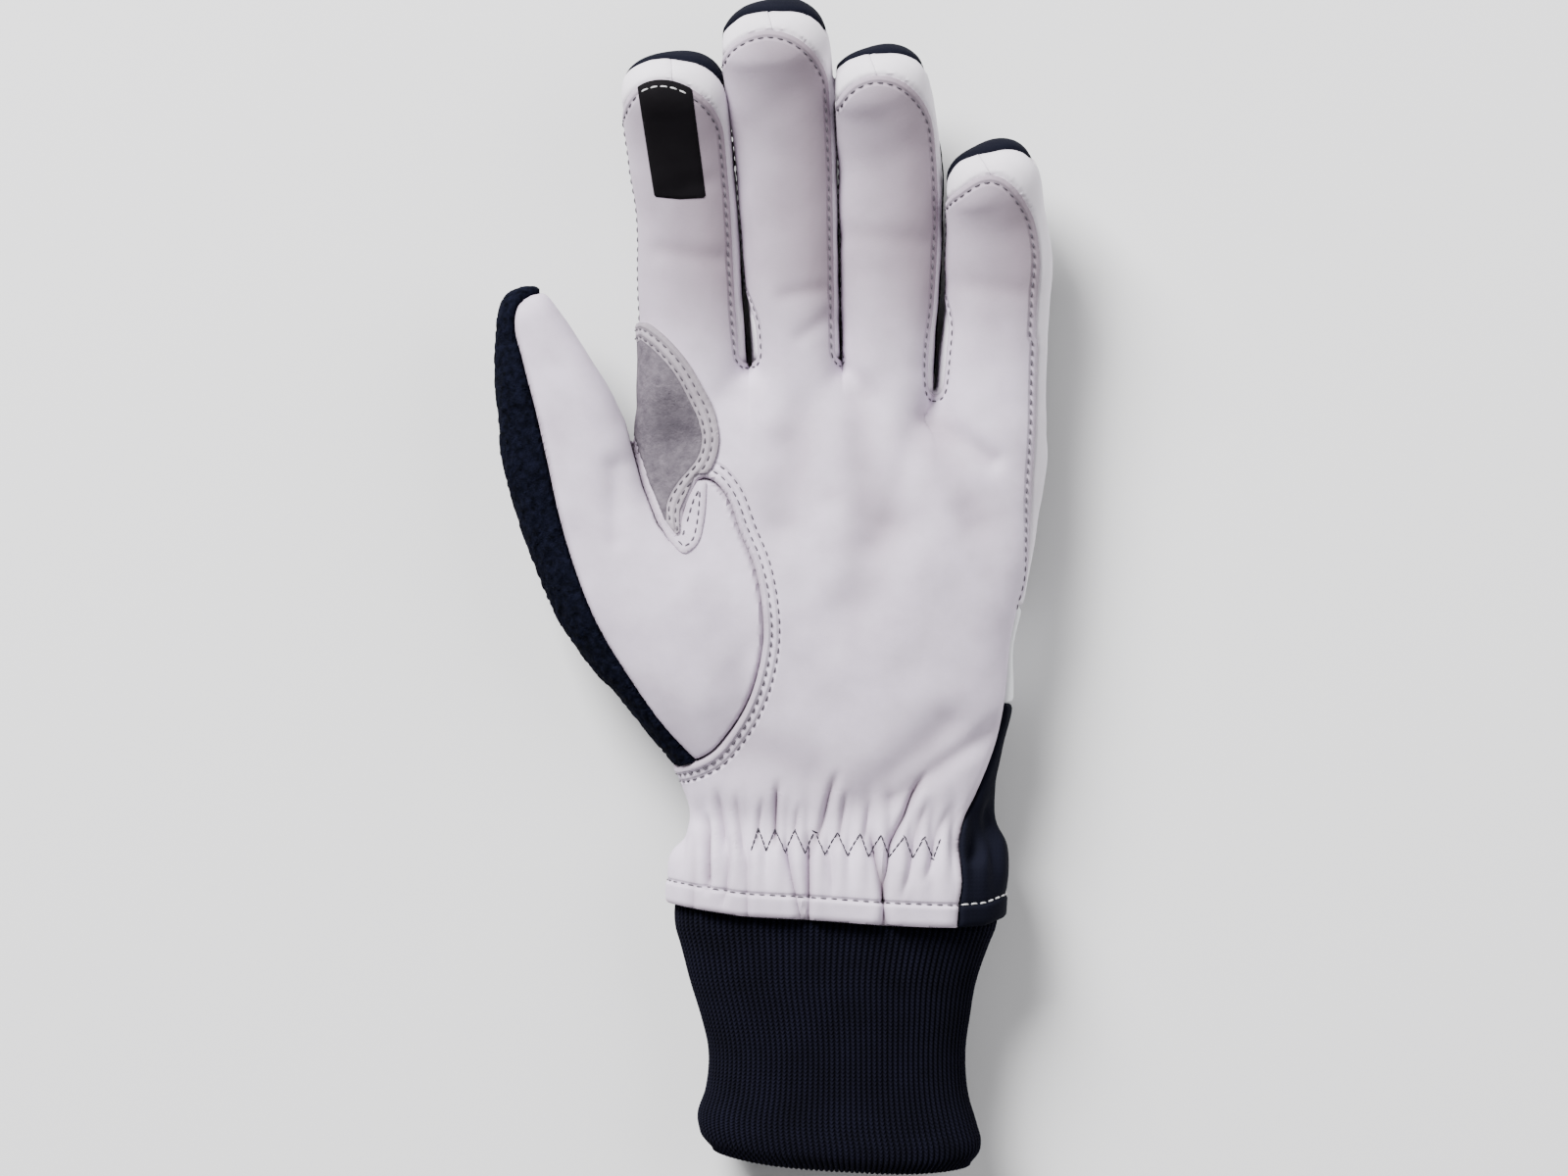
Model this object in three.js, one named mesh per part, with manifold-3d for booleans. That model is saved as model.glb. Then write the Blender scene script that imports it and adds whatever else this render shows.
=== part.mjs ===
// A padded left-hand cross-country ski glove lying on its back with the palm up, in millimetres.
// +X runs towards the little finger's side, +Y towards the fingertips and +Z out of the palm.
// The glove is cut from one hollow hand form, as the real one is sewn from flat panels over a hand:
// a palm, a back, a side insert, five strips between the fingers, two thumb halves and three patches.
// A rib-knitted cuff is tucked into the hem.
import * as THREE from "three";
import { mergeVertices } from "three/addons/utils/BufferGeometryUtils.js";
import Module from "manifold-3d";

const wasm = await Module();
wasm.setup();

// Driving dimensions
const WALL = 2.2; // padded softshell and synthetic leather
const KNIT_WALL = 2.6; // the cuff is knitted double
const SEAM_GAP = 0.3; // between the edges of two panels
const PATCH_LIFT = 0.3; // from the panel to a patch sewn on it
const PATCH_THICKNESS = 1.0;
const FINGER_SIDES = { outside: 14, inside: 8 };
const THUMB_SIDES = { outside: 16, inside: 10 };
const HAND_SIDES = { outside: 36, inside: 18 };
const TIP_ROUNDING = 10; // length over which a fingertip closes
const BLUNTNESS = 2.4; // 2 would make the tip a true ellipse
const GATHER_DEPTH = 0.7; // ripple that the elastic draws into the wrist
const RIBS = 38; // the knitted ribs are finer: about a hundred go round
const RIB_DEPTH = 0.4;
const CRUMB = 0.16; // detail finer than this is left out of a piece
const REACH = 200; // further than any part of the glove
const MID_HEIGHT = 15; // where the palm's side and the back's side of the hand meet
const KNUCKLE_DROP = 8; // the hand ends this much lower at the little finger
const PLAN_CENTRE = new THREE.Vector2(-0.15, 0.3); // middle of the finished glove seen from above

// A table with named columns, one row for each section or fold
function table(columns, ...rows) {
  const names = columns.split(" ");
  return rows.map((row) => Object.fromEntries(names.map((name, i) => [name, row[i]])));
}

// Sections of the five limbs and of the hand: centre, half width and half thickness
const SECTION = "x y z width thick";

const indexFinger = table(SECTION,
  [-17.5, 2, 14.8, 12.0, 6.0],
  [-19.2, 22, 14.8, 13.4, 10.4],
  [-19.8, 40, 14.8, 13.3, 11.8],
  [-20.0, 54, 14.6, 13.0, 11.6],
  [-20.6, 72, 15.2, 12.4, 11.4],
  [-21.5, 91, 17.3, 12.4, 11.2],
  [-23.4, 108, 21.0, 12.9, 11.0],
  [-24.6, 119, 25.2, 13.1, 10.8],
  [-25.0, 129.8, 31.5, 13.0, 10.6]);

const middleFinger = table(SECTION,
  [7.5, 0, 14.8, 10.0, 6.0],
  [6.6, 22, 14.8, 11.6, 11.2],
  [5.6, 40, 14.8, 11.6, 12.2],
  [4.9, 54, 14.6, 11.2, 11.8],
  [4.1, 72, 15.4, 11.6, 11.6],
  [3.4, 91, 17.2, 12.0, 11.4],
  [2.4, 111, 20.3, 12.5, 11.3],
  [1.2, 123, 24.1, 13.2, 11.2],
  [0.2, 134, 30.0, 13.6, 11.1],
  [-0.4, 140.3, 35.0, 13.2, 10.8]);

const ringFinger = table(SECTION,
  [28.5, 0, 14.8, 10.0, 6.0],
  [28.2, 22, 14.7, 11.4, 11.0],
  [27.9, 40, 14.6, 11.3, 12.0],
  [27.9, 54, 14.4, 11.2, 11.6],
  [28.6, 72, 15.2, 12.2, 11.4],
  [28.6, 91, 17.3, 12.6, 11.2],
  [27.7, 109, 21.1, 12.3, 11.0],
  [26.7, 120, 25.6, 12.3, 10.8],
  [24.8, 130.8, 32.0, 12.4, 10.6]);

const littleFinger = table(SECTION,
  [47.0, -8, 14.6, 9.0, 6.0],
  [50.4, 14, 14.4, 11.8, 10.2],
  [52.6, 38, 14.2, 13.6, 11.8],
  [53.4, 54, 14.4, 13.6, 11.5],
  [54.5, 70, 15.6, 13.3, 11.2],
  [55.1, 80, 17.2, 13.3, 11.0],
  [54.0, 91, 19.8, 12.4, 10.8],
  [53.2, 99, 23.4, 11.9, 10.5],
  [51.6, 106.6, 28.8, 11.6, 10.2]);

const thumb = table(SECTION,
  [-11.5, -38, 16.0, 14.5, 15.0],
  [-17.6, -24, 17.0, 19.0, 16.5],
  [-25.0, -9, 17.8, 23.0, 17.0],
  [-37.0, 3, 18.0, 20.8, 15.5],
  [-45.0, 14.5, 18.5, 17.2, 14.0],
  [-49.0, 25, 19.2, 16.4, 13.2],
  [-51.8, 34.5, 19.8, 15.6, 12.6],
  [-54.2, 43.5, 20.6, 14.0, 11.8],
  [-56.6, 52.5, 21.4, 12.0, 10.6],
  [-58.9, 60, 22.2, 10.0, 9.4],
  [-61.1, 67, 23.2, 7.9, 7.8],
  [-62.2, 73.4, 24.0, 6.4, 6.6]);

// Gather is how much of the elastic's ripple a section has, lean how far it drops for each mm of x
const WRIST_SECTION = SECTION + " gather lean";

const hand = table(WRIST_SECTION,
  [17.0, 53.6, 14.5, 44.0, 4.0, 0, 0],
  [16.8, 50, 14.5, 48.0, 9.0, 0, 0],
  [16.5, 43, 14.5, 49.8, 12.8, 0, 0],
  [16.4, 33, 14.6, 50.0, 14.9, 0, 0],
  [15.7, 14.4, 15.2, 48.2, 16.6, 0, 0],
  [14.7, 0, 15.5, 47.0, 17.2, 0, 0],
  [13.8, -14.4, 15.4, 44.8, 17.0, 0, 0],
  [14.4, -28.8, 15.0, 43.8, 16.4, 0, 0],
  [15.1, -42, 14.6, 40.2, 15.8, 0.3, 0],
  [16.0, -49, 14.3, 37.8, 15.2, 0.7, 0],
  [17.2, -57.4, 13.8, 36.4, 14.4, 1, 0.01],
  [16.2, -62, 14.2, 38.4, 15.2, 0.8, 0.03],
  [15.3, -67.6, 15.2, 40.8, 16.6, 0.4, 0.05],
  [14.8, -74, 15.8, 41.4, 17.1, 0.2, 0.06],
  [14.4, -79.6, 15.8, 40.9, 17.2, 0.2, 0.06]);

const cuff = table(WRIST_SECTION,
  [14.8, -71, 16.4, 36.2, 13.0, 0, 0],
  [14.4, -79.5, 16.3, 37.4, 13.0, 0, 0],
  [14.2, -86.5, 15.4, 37.1, 14.8, 0, 0],
  [13.9, -96, 14.9, 34.7, 15.2, 0, 0],
  [14.5, -105.5, 14.8, 32.4, 15.1, 0, 0],
  [15.1, -112, 14.8, 31.0, 15.1, 0, 0],
  [14.7, -123, 14.8, 31.6, 15.3, 0, 0.02],
  [14.5, -132, 14.9, 33.8, 15.9, 0, 0.04],
  [15.3, -136.4, 15.0, 34.4, 16.2, 0, 0.05],
  [15.5, -139.6, 15.0, 33.4, 15.8, 0, 0.05],
  [15.9, -141.5, 15.0, 31.0, 14.4, 0, 0.05]);

// Broad folds across the palm: a trough from one end to the other, its depth and its half width
const palmFolds = table("x0 y0 x1 y1 depth reach",
  [6, 40, 2, 16, 1.3, 7],
  [21, 46, 24, 12, 1.5, 6],
  [38, 40, 50, 16, 1.4, 6],
  [30, 14, 20, -4, 1.0, 7],
  [-8, -40, 8, -46, 0.9, 8],
  [22, -52, 42, -34, 1.1, 6]);

// How far a point of the palm is pressed in by the folds
function foldDepth(x, y) {
  return palmFolds.reduce((depth, fold) => {
    const along = new THREE.Vector2(fold.x1 - fold.x0, fold.y1 - fold.y0);
    const from = new THREE.Vector2(x - fold.x0, y - fold.y0);
    const share = THREE.MathUtils.clamp(from.dot(along) / along.lengthSq(), 0, 1);
    const away = from.addScaledVector(along, -share).length() / fold.reach;
    return depth + fold.depth * Math.exp(-away * away);
  }, 0);
}

// A solid from rings of points, each ring with the same number, closed at both ends by a fan
function solidFromRings(rings) {
  const sides = rings[0].length;
  const points = rings.flat();
  const triangles = [];
  const add = (a, b, c) => triangles.push(a, b, c);
  for (let r = 0; r + 1 < rings.length; r++) {
    for (let s = 0; s < sides; s++) {
      const a = r * sides + s;
      const b = r * sides + ((s + 1) % sides);
      add(a, b + sides, b);
      add(a, a + sides, b + sides);
    }
  }
  for (const [ring, start, turned] of [[rings[0], 0, true], [rings.at(-1), (rings.length - 1) * sides, false]]) {
    const middle = points.length;
    points.push(ring.reduce((sum, p) => sum.add(p), new THREE.Vector3()).divideScalar(sides));
    for (let s = 0; s < sides; s++) {
      const a = start + s;
      const b = start + ((s + 1) % sides);
      turned ? add(middle, a, b) : add(middle, b, a);
    }
  }
  const solid = new wasm.Manifold(new wasm.Mesh({
    numProp: 3,
    vertProperties: new Float32Array(points.flatMap((p) => [p.x, p.y, p.z])),
    triVerts: new Uint32Array(triangles),
  }));
  if (solid.volume() < 0) throw new Error("rings run the wrong way round");
  return solid;
}

// A smooth path through a limb's rows, sampled with the sizes of its section at each step.
// A finger's sections stand square to its path, those of the hand and the cuff upright.
function sample(rows, steps) {
  const smooth = (...columns) => new THREE.CatmullRomCurve3(
    rows.map((row) => new THREE.Vector3(...columns.map((column) => row[column] ?? 0))));
  const route = smooth("x", "y", "z");
  const sizes = smooth("width", "thick", "gather");
  const leaning = smooth("lean");
  const upright = rows[0].lean !== undefined;
  return steps.map((u) => {
    const { x: width, y: thick, z: gather } = sizes.getPoint(u);
    const tangent = upright ? new THREE.Vector3(0, 1, 0) : route.getTangent(u);
    const across = tangent.clone().cross(new THREE.Vector3(0, 0, 1)).normalize();
    const up = across.clone().cross(tangent);
    across.y -= leaning.getPoint(u).x;
    return { centre: route.getPoint(u), tangent, across, up, width, thick, gather };
  });
}

const evenSteps = (count) => Array.from({ length: count }, (_, i) => i / (count - 1));

// A soft tube: rounded-square sections of the given power along the rows, swollen or shrunk by grow
function tube(rows, { grow = 0, sides, steps, power, tip = 0, ribs = 0, folded = false, overrun = 0 }) {
  const stations = sample(rows, steps);
  const end = stations.at(-1).centre;
  const rings = stations.map((station, index) => {
    const toEnd = station.centre.distanceTo(end);
    const open = tip ? Math.min(1, toEnd / tip) : 1;
    const shape = Math.max(0.2, (1 - (1 - open) ** BLUNTNESS) ** (1 / BLUNTNESS));
    const slide = (index === 0 ? -overrun : 0) + (index === stations.length - 1 ? (tip ? grow : overrun) : 0);
    return Array.from({ length: sides }, (_, s) => {
      const angle = (2 * Math.PI * s) / sides;
      const rounded = (v) => Math.sign(v) * Math.abs(v) ** (2 / power);
      const wave = s % 2 ? -0.5 : 0.5;
      const ripple = GATHER_DEPTH * station.gather * 2 * wave + (ribs ? RIB_DEPTH * 2 * wave : 0);
      const wide = rounded(Math.cos(angle)) * (station.width * shape + grow + ripple);
      const high = rounded(Math.sin(angle)) * (station.thick * shape + grow + ripple);
      const point = station.centre.clone()
        .addScaledVector(station.across, wide)
        .addScaledVector(station.up, high)
        .addScaledVector(station.tangent, slide);
      if (folded) {
        const { smoothstep } = THREE.MathUtils;
        point.y -= KNUCKLE_DROP * smoothstep(point.x, 20, 40) * smoothstep(station.centre.y, 14, 52);
        if (point.z > MID_HEIGHT) point.z -= foldDepth(point.x, point.y);
      }
      return point;
    });
  });
  return solidFromRings(rings);
}

// Steps along a finger: even to the last stretch and closer together round the tip
const FINGER_STEPS = {
  outside: [0, 0.2, 0.36, 0.5, 0.62, 0.73, 0.82, 0.9, 0.945, 0.975, 0.99, 1],
  inside: [0, 0.3, 0.5, 0.7, 0.84, 0.93, 0.975, 1],
};

const limbs = [
  { rows: indexFinger, left: 1.2, right: 2.6 },
  { rows: middleFinger, left: 1.2, right: 2.6 },
  { rows: ringFinger, left: 1.2, right: 2.6 },
  { rows: littleFinger, left: 1.6, right: 4.4 },
];

// The whole hand form, swollen by grow. Its underside is flattened where the glove lies on its back.
function handForm(grow, face = "outside", overrun = 0) {
  const steps = FINGER_STEPS[face];
  const fingers = limbs.map((limb) =>
    tube(limb.rows, { grow, sides: FINGER_SIDES[face], steps, power: 2.5, tip: TIP_ROUNDING }));
  const thumbTube = tube(thumb, { grow, sides: THUMB_SIDES[face], steps, power: 2.4, tip: 8 });
  const palm = tube([...hand].reverse(), {
    grow, sides: HAND_SIDES[face], steps: evenSteps(face === "inside" ? 10 : hand.length), power: 2.5,
    folded: true, overrun,
  });
  const whole = wasm.Manifold.union([palm, thumbTube, ...fingers]);
  return whole.trimByPlane([0, 0, 1], -grow);
}

// A prism over a smooth closed outline seen from above, swollen by grow
function prism(outline, { grow = 0, low = -REACH, high = REACH }) {
  const points = outline.map(([x, y]) => new THREE.Vector2(x, y));
  if (THREE.ShapeUtils.area(points) < 0) points.reverse();
  const outward = (from, to) => new THREE.Vector2(to.y - from.y, from.x - to.x).normalize();
  const swollen = points.map((point, i) => {
    const before = outward(points.at(i - 1), point);
    const after = outward(point, points[(i + 1) % points.length]);
    const mitre = grow / Math.max(0.4, 1 + before.dot(after));
    return point.clone().addScaledVector(before.add(after), mitre);
  });
  const geometry = new THREE.ExtrudeGeometry(new THREE.Shape(swollen), { depth: high - low, bevelEnabled: false });
  geometry.translate(0, 0, low);
  geometry.deleteAttribute("normal");
  geometry.deleteAttribute("uv");
  const merged = mergeVertices(geometry, 1e-4);
  return new wasm.Manifold(new wasm.Mesh({
    numProp: 3,
    vertProperties: merged.attributes.position.array,
    triVerts: new Uint32Array(merged.index.array),
  }));
}

// A smooth line through a few points, as more points
function through(points, count) {
  const curve = new THREE.CatmullRomCurve3(points.map(([x, y]) => new THREE.Vector3(x, y, 0)));
  return curve.getPoints(count).map((p) => [p.x, p.y]);
}

// The space above (side 1) or below (side -1) a limb's middle line, between two vertical walls.
// left and right are how far the walls stand in from the limb's sides.
function slab(rows, { side, left, right, endGap, rounding, grow = 0 }) {
  const tipPoint = new THREE.Vector2(rows.at(-1).x, rows.at(-1).y);
  const stations = sample(rows, evenSteps(49)).map((station) => {
    const toTip = tipPoint.distanceTo(new THREE.Vector2(station.centre.x, station.centre.y));
    return { ...station, toTip };
  }).filter((station) => station.toTip >= endGap - grow);
  const kept = stations.filter((station, i) => i % 8 === 0 || station.toTip < endGap + 0.8 * rounding);
  const rings = kept.map((station) => {
    const share = Math.min(1, (station.toTip - endGap + grow) / Math.max(rounding, 0.01));
    const closing = rounding ? Math.max(0.3, Math.sqrt(1 - (1 - share) ** 2)) : 1;
    const across = station.across;
    const from = (-station.width + left - grow) * closing;
    const to = (station.width - right + grow) * closing;
    const at = (w, z) => station.centre.clone().addScaledVector(across, w).add(new THREE.Vector3(0, 0, z));
    const near = -side * grow;
    const far = side * 60;
    const corners = [at(from, near), at(to, near), at(to, far), at(from, far)];
    return side > 0 ? corners : corners.reverse();
  });
  const back = stations[0].tangent.clone().setZ(0).normalize().multiplyScalar(-12);
  rings.unshift(rings[0].map((p) => p.clone().add(back)));
  if (!rounding) {
    const last = rings.at(-1);
    const onward = stations.at(-1).tangent.clone().setZ(0).normalize().multiplyScalar(6);
    rings.push(last.map((p) => p.clone().add(onward)));
  }
  return solidFromRings(rings);
}

// Outlines of the panels seen from above
const thumbHoleSeam = through([
  [-16.6, 23.4], [-13.0, 26.0], [-9.0, 19.6], [-5.5, 10.6], [-3.5, 2], [-2.9, -9.6], [-4.2, -21], [-9, -33], [-16, -41], [-24.2, -43.9],
], 16);
const thumbCrotch = [[-45, 90], [-37.5, 50], [-34.8, 36], [-32.4, 26], [-27.4, 15], [-22.5, 11.6], [-18.6, 15]];
const thumbSeam = through([
  [-19.4, -42.6], [-27.4, -34], [-35.6, -22.4], [-43.6, -9], [-48.8, 4], [-52.6, 17], [-55.6, 31], [-58.2, 43], [-61.6, 56], [-63.8, 64], [-62.8, 69.2], [-59.8, 71.6],
], 16);
const thumbFrontOutline = [...thumbCrotch, ...thumbHoleSeam.slice(0, -2), ...thumbSeam, [-57, 74]];
const thumbTopOutline = [[-90, 90], ...thumbCrotch, ...thumbHoleSeam, [-90, -43.9]];
const thumbUnderOutline = [[-90, 90], [-45, 90], [-37.5, 50], [-34.8, 36], [-31.5, 20], [-27.5, 0], [-24.6, -20], [-24.2, -43.9], [-90, -43.9]];

const littleSideSeam = through([
  [63.4, 60], [62.8, 46], [62.3, 29], [62.0, 13], [61.2, 2], [59.3, -6], [57.9, -13], [56.6, -27], [55.2, -35],
  [51.4, -46], [46.4, -56], [42.6, -61.4], [44.6, -66], [45.7, -71], [44.8, -78], [44.4, -92],
], 17);
const palmOutline = [[-90, -92], [-90, 61], [-26, 61], [-9.5, 55], [-4, 55], [15, 55.5], [18, 55.5], [36, 47], [41, 47], ...littleSideSeam];

const fingerZone = [[-60, 61], [-29, 61], [-25, 40], [44, 34], [50, 30], [56, -4], [90, -10], [90, 160], [-60, 160]];
const sideInsertOutline = [[90, -3.2], [57, -3.2], [53, -14], [49, -28.2], [90, -28.2]];

const patchOutline = through([
  [-60, 61.5], [-34, 63.6], [-31.0, 64], [-27.0, 62.4], [-22.6, 58.4], [-17.6, 50.4], [-14.3, 41], [-14.0, 36.4], [-16.4, 29.6], [-20.6, 24], [-22.4, 18.6], [-24.4, 14],
], 18).concat([[-26.8, 16.8], [-31.4, 27.2], [-33.2, 34], [-60, 34]]);
const tabOutline = through([
  [-20.2, 25.2], [-16.4, 26.2], [-16.2, 20], [-17.2, 15], [-20.8, 10.2], [-24.4, 11.2], [-27.0, 15.2],
], 14).concat([[-25.4, 15.6]]);
const touchOutline = [[-33.2, 123.0], [-27.2, 124.6], [-20.8, 122.4], [-20.2, 119], [-17.0, 94.8], [-23.2, 94.0], [-29.2, 95.2], [-33.0, 117]];

const above = (outline, grow = 0) => prism(outline, { grow, low: MID_HEIGHT - grow });
const below = (outline, grow = 0) => prism(outline, { grow, high: MID_HEIGHT + grow });

// The space that the palm's panel is cut from: the palm and the front of each finger
function palmCutter(grow) {
  const fronts = limbs.map(({ rows, left, right }) =>
    slab(rows, { side: 1, left, right, endGap: 4.6, rounding: 9, grow }));
  return wasm.Manifold.union([above(palmOutline, grow), ...fronts]);
}

// The space of the thumb's two halves together
function thumbCutter(grow) {
  return wasm.Manifold.union([above(thumbTopOutline, grow), below(thumbUnderOutline, grow)]);
}

// The space of the thumb's leather front
function thumbFrontCutter(grow) {
  const upper = slab(thumb, { side: 1, left: -40, right: -40, endGap: -1, rounding: 0, grow });
  return prism(thumbFrontOutline, { grow }).intersect(upper);
}

// The space of the finger strips: the finger zone, less the fronts and backs of the fingers
function stripCutter(grow) {
  const backs = limbs.map(({ rows }) =>
    slab(rows, { side: -1, left: 2.4, right: 2.4, endGap: 0, rounding: 0, grow: SEAM_GAP - grow }));
  const knuckles = below([[-60, -92], [-60, 61], [-26, 61], [-12, 50], [20, 50], [42, 42], [57, 44], [57, -92]], SEAM_GAP - grow);
  return prism(fingerZone, { grow })
    .subtract(palmCutter(SEAM_GAP - grow))
    .subtract(wasm.Manifold.union([knuckles, ...backs]));
}

const COLOURS = {
  leather: { color: 0xcfc9cd, roughness: 0.85, metalness: 0 },
  strip: { color: 0xdcd8da, roughness: 0.8, metalness: 0 },
  suede: { color: 0xb7b2b4, roughness: 0.95, metalness: 0 },
  softshell: { color: 0x12172c, roughness: 0.7, metalness: 0 },
  insert: { color: 0xeceef0, roughness: 0.7, metalness: 0 },
  terry: { color: 0x171d3a, roughness: 1, metalness: 0 },
  knit: { color: 0x0c1020, roughness: 0.9, metalness: 0 },
  touch: { color: 0x1b1b1e, roughness: 0.6, metalness: 0 },
};
const materials = Object.fromEntries(
  Object.entries(COLOURS).map(([name, look]) => [name, new THREE.MeshStandardMaterial(look)]));

// A named mesh from a solid, without the crumbs that a cut leaves behind
function piece(name, solid, material) {
  const largest = (body) => body.decompose().sort((a, b) => b.volume() - a.volume())[0];
  const { vertProperties, triVerts } = largest(largest(solid).simplify(CRUMB)).getMesh();
  const geometry = new THREE.BufferGeometry();
  geometry.setAttribute("position", new THREE.BufferAttribute(Float32Array.from(vertProperties), 3));
  geometry.setIndex(new THREE.BufferAttribute(Uint32Array.from(triVerts), 1));
  geometry.computeVertexNormals();
  const mesh = new THREE.Mesh(geometry, materials[material]);
  mesh.name = name;
  return mesh;
}

const glove = new THREE.Group();

// The wall of the hand form, hollow from the hem to the fingertips
const wall = handForm(0).subtract(handForm(-WALL, "inside", 4));

// The palm with the fronts of the fingers, in one piece of synthetic leather
const palm = wall.intersect(palmCutter(0)).subtract(thumbCutter(SEAM_GAP));
glove.add(piece("palm_panel", palm, "leather"));

// The strips that run down one finger's side, round the crotch and up the next.
// They meet in a short seam at the middle of each fingertip.
const tipSeams = wasm.Manifold.union(limbs.map(({ rows }) => {
  const { x, y } = rows.at(-1);
  const half = SEAM_GAP / 2;
  return prism([[x - half, y - 16], [x + half, y - 16], [x + half + 0.2, y + 8], [x - half + 0.2, y + 8]], {});
}));
const strips = wall.intersect(stripCutter(0)).subtract(thumbCutter(SEAM_GAP)).subtract(tipSeams);
const STRIP_NAMES = ["strip_index_outer", "strip_index_middle", "strip_middle_ring", "strip_ring_little", "strip_little_outer"];
const middleX = (solid) => (solid.boundingBox().min[0] + solid.boundingBox().max[0]) / 2;
strips.decompose()
  .sort((a, b) => b.volume() - a.volume()).slice(0, STRIP_NAMES.length)
  .sort((a, b) => middleX(a) - middleX(b))
  .forEach((solid, i) => glove.add(piece(STRIP_NAMES[i], solid, "strip")));

// The back with the backs of the fingers, and the white insert in its outer side
const back = wall.subtract(palmCutter(SEAM_GAP)).subtract(thumbCutter(SEAM_GAP)).subtract(stripCutter(SEAM_GAP));
glove.add(piece("back_panel", back.subtract(prism(sideInsertOutline, { grow: SEAM_GAP })), "softshell"));
glove.add(piece("side_insert", back.intersect(prism(sideInsertOutline, {})), "insert"));

// The thumb: a leather front and a terry back for wiping the face
const thumbWall = wall.intersect(thumbCutter(0));
glove.add(piece("thumb_front", thumbWall.intersect(thumbFrontCutter(0)), "leather"));
glove.add(piece("thumb_back", thumbWall.subtract(thumbFrontCutter(SEAM_GAP)), "terry"));

// Patches sewn on top: the suede saddle between thumb and index finger, the tab under its end
// and the touch-screen patch on the index fingertip
const patchLayer = handForm(PATCH_LIFT + PATCH_THICKNESS).subtract(handForm(PATCH_LIFT));
glove.add(piece("saddle_patch", patchLayer.intersect(above(patchOutline)).subtract(thumbCutter(SEAM_GAP)), "suede"));
glove.add(piece("crotch_tab", patchLayer.intersect(above(tabOutline)).subtract(above(patchOutline, SEAM_GAP)), "leather"));
glove.add(piece("touch_patch", patchLayer.intersect(prism(touchOutline, { low: 25 })), "touch"));

// The rib-knitted cuff, open at both ends
const cuffSteps = [0, 0.03, 0.08, 0.2, 0.38, 0.55, 0.7, 0.86, 1];
const cuffOuter = tube([...cuff].reverse(), { sides: 2 * RIBS, steps: cuffSteps, power: 2.4, ribs: RIBS });
const cuffInner = tube([...cuff].reverse(), { grow: -KNIT_WALL, sides: 22, steps: evenSteps(6), power: 2.4, overrun: 3 });
glove.add(piece("rib_cuff", cuffOuter.trimByPlane([0, 0, 1], 0).subtract(cuffInner.trimByPlane([0, 0, 1], KNIT_WALL)), "knit"));

glove.position.set(-PLAN_CENTRE.x, -PLAN_CENTRE.y, 0);

export default glove;
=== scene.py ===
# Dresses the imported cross-country ski glove: a left-hand glove that lies on its back with the palm up.
# Metres, in the frame of the CAD: +X to the little finger, +Y along the fingers, +Z up out of the palm.
# Lengths in the tables below are millimetres, drawn about the middle of the glove's plan.
import math

import bpy
import numpy as np
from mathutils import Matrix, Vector, kdtree, noise
from mathutils.bvhtree import BVHTree


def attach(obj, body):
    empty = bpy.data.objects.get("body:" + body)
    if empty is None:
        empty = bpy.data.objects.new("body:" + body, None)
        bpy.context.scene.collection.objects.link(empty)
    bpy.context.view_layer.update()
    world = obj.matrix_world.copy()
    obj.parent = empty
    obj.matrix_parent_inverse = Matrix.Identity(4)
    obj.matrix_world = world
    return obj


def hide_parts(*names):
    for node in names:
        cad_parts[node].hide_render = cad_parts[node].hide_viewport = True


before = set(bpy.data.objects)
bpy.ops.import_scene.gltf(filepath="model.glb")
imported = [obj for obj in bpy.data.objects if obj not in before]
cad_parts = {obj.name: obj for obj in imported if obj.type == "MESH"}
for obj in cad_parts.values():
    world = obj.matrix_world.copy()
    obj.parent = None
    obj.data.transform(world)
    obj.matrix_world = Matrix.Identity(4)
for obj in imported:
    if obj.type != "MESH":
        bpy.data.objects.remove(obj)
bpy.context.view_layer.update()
bpy.ops.object.select_all(action="DESELECT")

# The studio.
# A plain pale floor under the glove, a large soft light from beyond the fingers, a weak one from the right,
# and the camera straight above the palm. It sees 384 mm by 288 mm, the photograph's own field.

MM = 0.001
FIELD_WIDTH = 384 * MM
FIELD_CENTRE = (2.31 * MM, -0.3 * MM)
OUTLINE_HEIGHT = 15 * MM
LENS, SENSOR = 150, 36

bpy.ops.object.camera_add(location=(*FIELD_CENTRE, OUTLINE_HEIGHT + FIELD_WIDTH * LENS / SENSOR))
camera = bpy.context.object
camera.name = "camera"
camera.data.lens = LENS
camera.data.sensor_width = SENSOR
bpy.context.scene.camera = camera

bpy.ops.mesh.primitive_plane_add(size=6)
floor = bpy.context.object
floor.name = "floor"

for name, place, size, power in [
    ("key_light", (-1.16, 1.78, 1.5), 1.2, 208),
    ("fill_light", (1.3, 0.4, 1.0), 1.4, 15),
    ("foot_light", (0.0, -1.5, 0.8), 1.2, 2),
]:
    bpy.ops.object.light_add(type="AREA", location=place)
    light = bpy.context.object
    light.name = name
    light.data.size = size
    light.data.energy = power
    light.rotation_euler = Vector(place).to_track_quat("Z", "Y").to_euler()

world = bpy.data.worlds.new("studio")
bpy.context.scene.world = world
world.use_nodes = True
world.node_tree.nodes["Background"].inputs["Color"].default_value = (0.97, 0.96, 1.0, 1)
world.node_tree.nodes["Background"].inputs["Strength"].default_value = 0.2


def linear(code):
    """An sRGB hex colour as linear RGBA."""
    parts = [int(code[i:i + 2], 16) / 255 for i in (0, 2, 4)]
    return tuple(c / 12.92 if c <= 0.04045 else ((c + 0.055) / 1.055) ** 2.4 for c in parts) + (1.0,)


def shader_of(finish):
    return finish.node_tree.nodes["Principled BSDF"]


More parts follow.
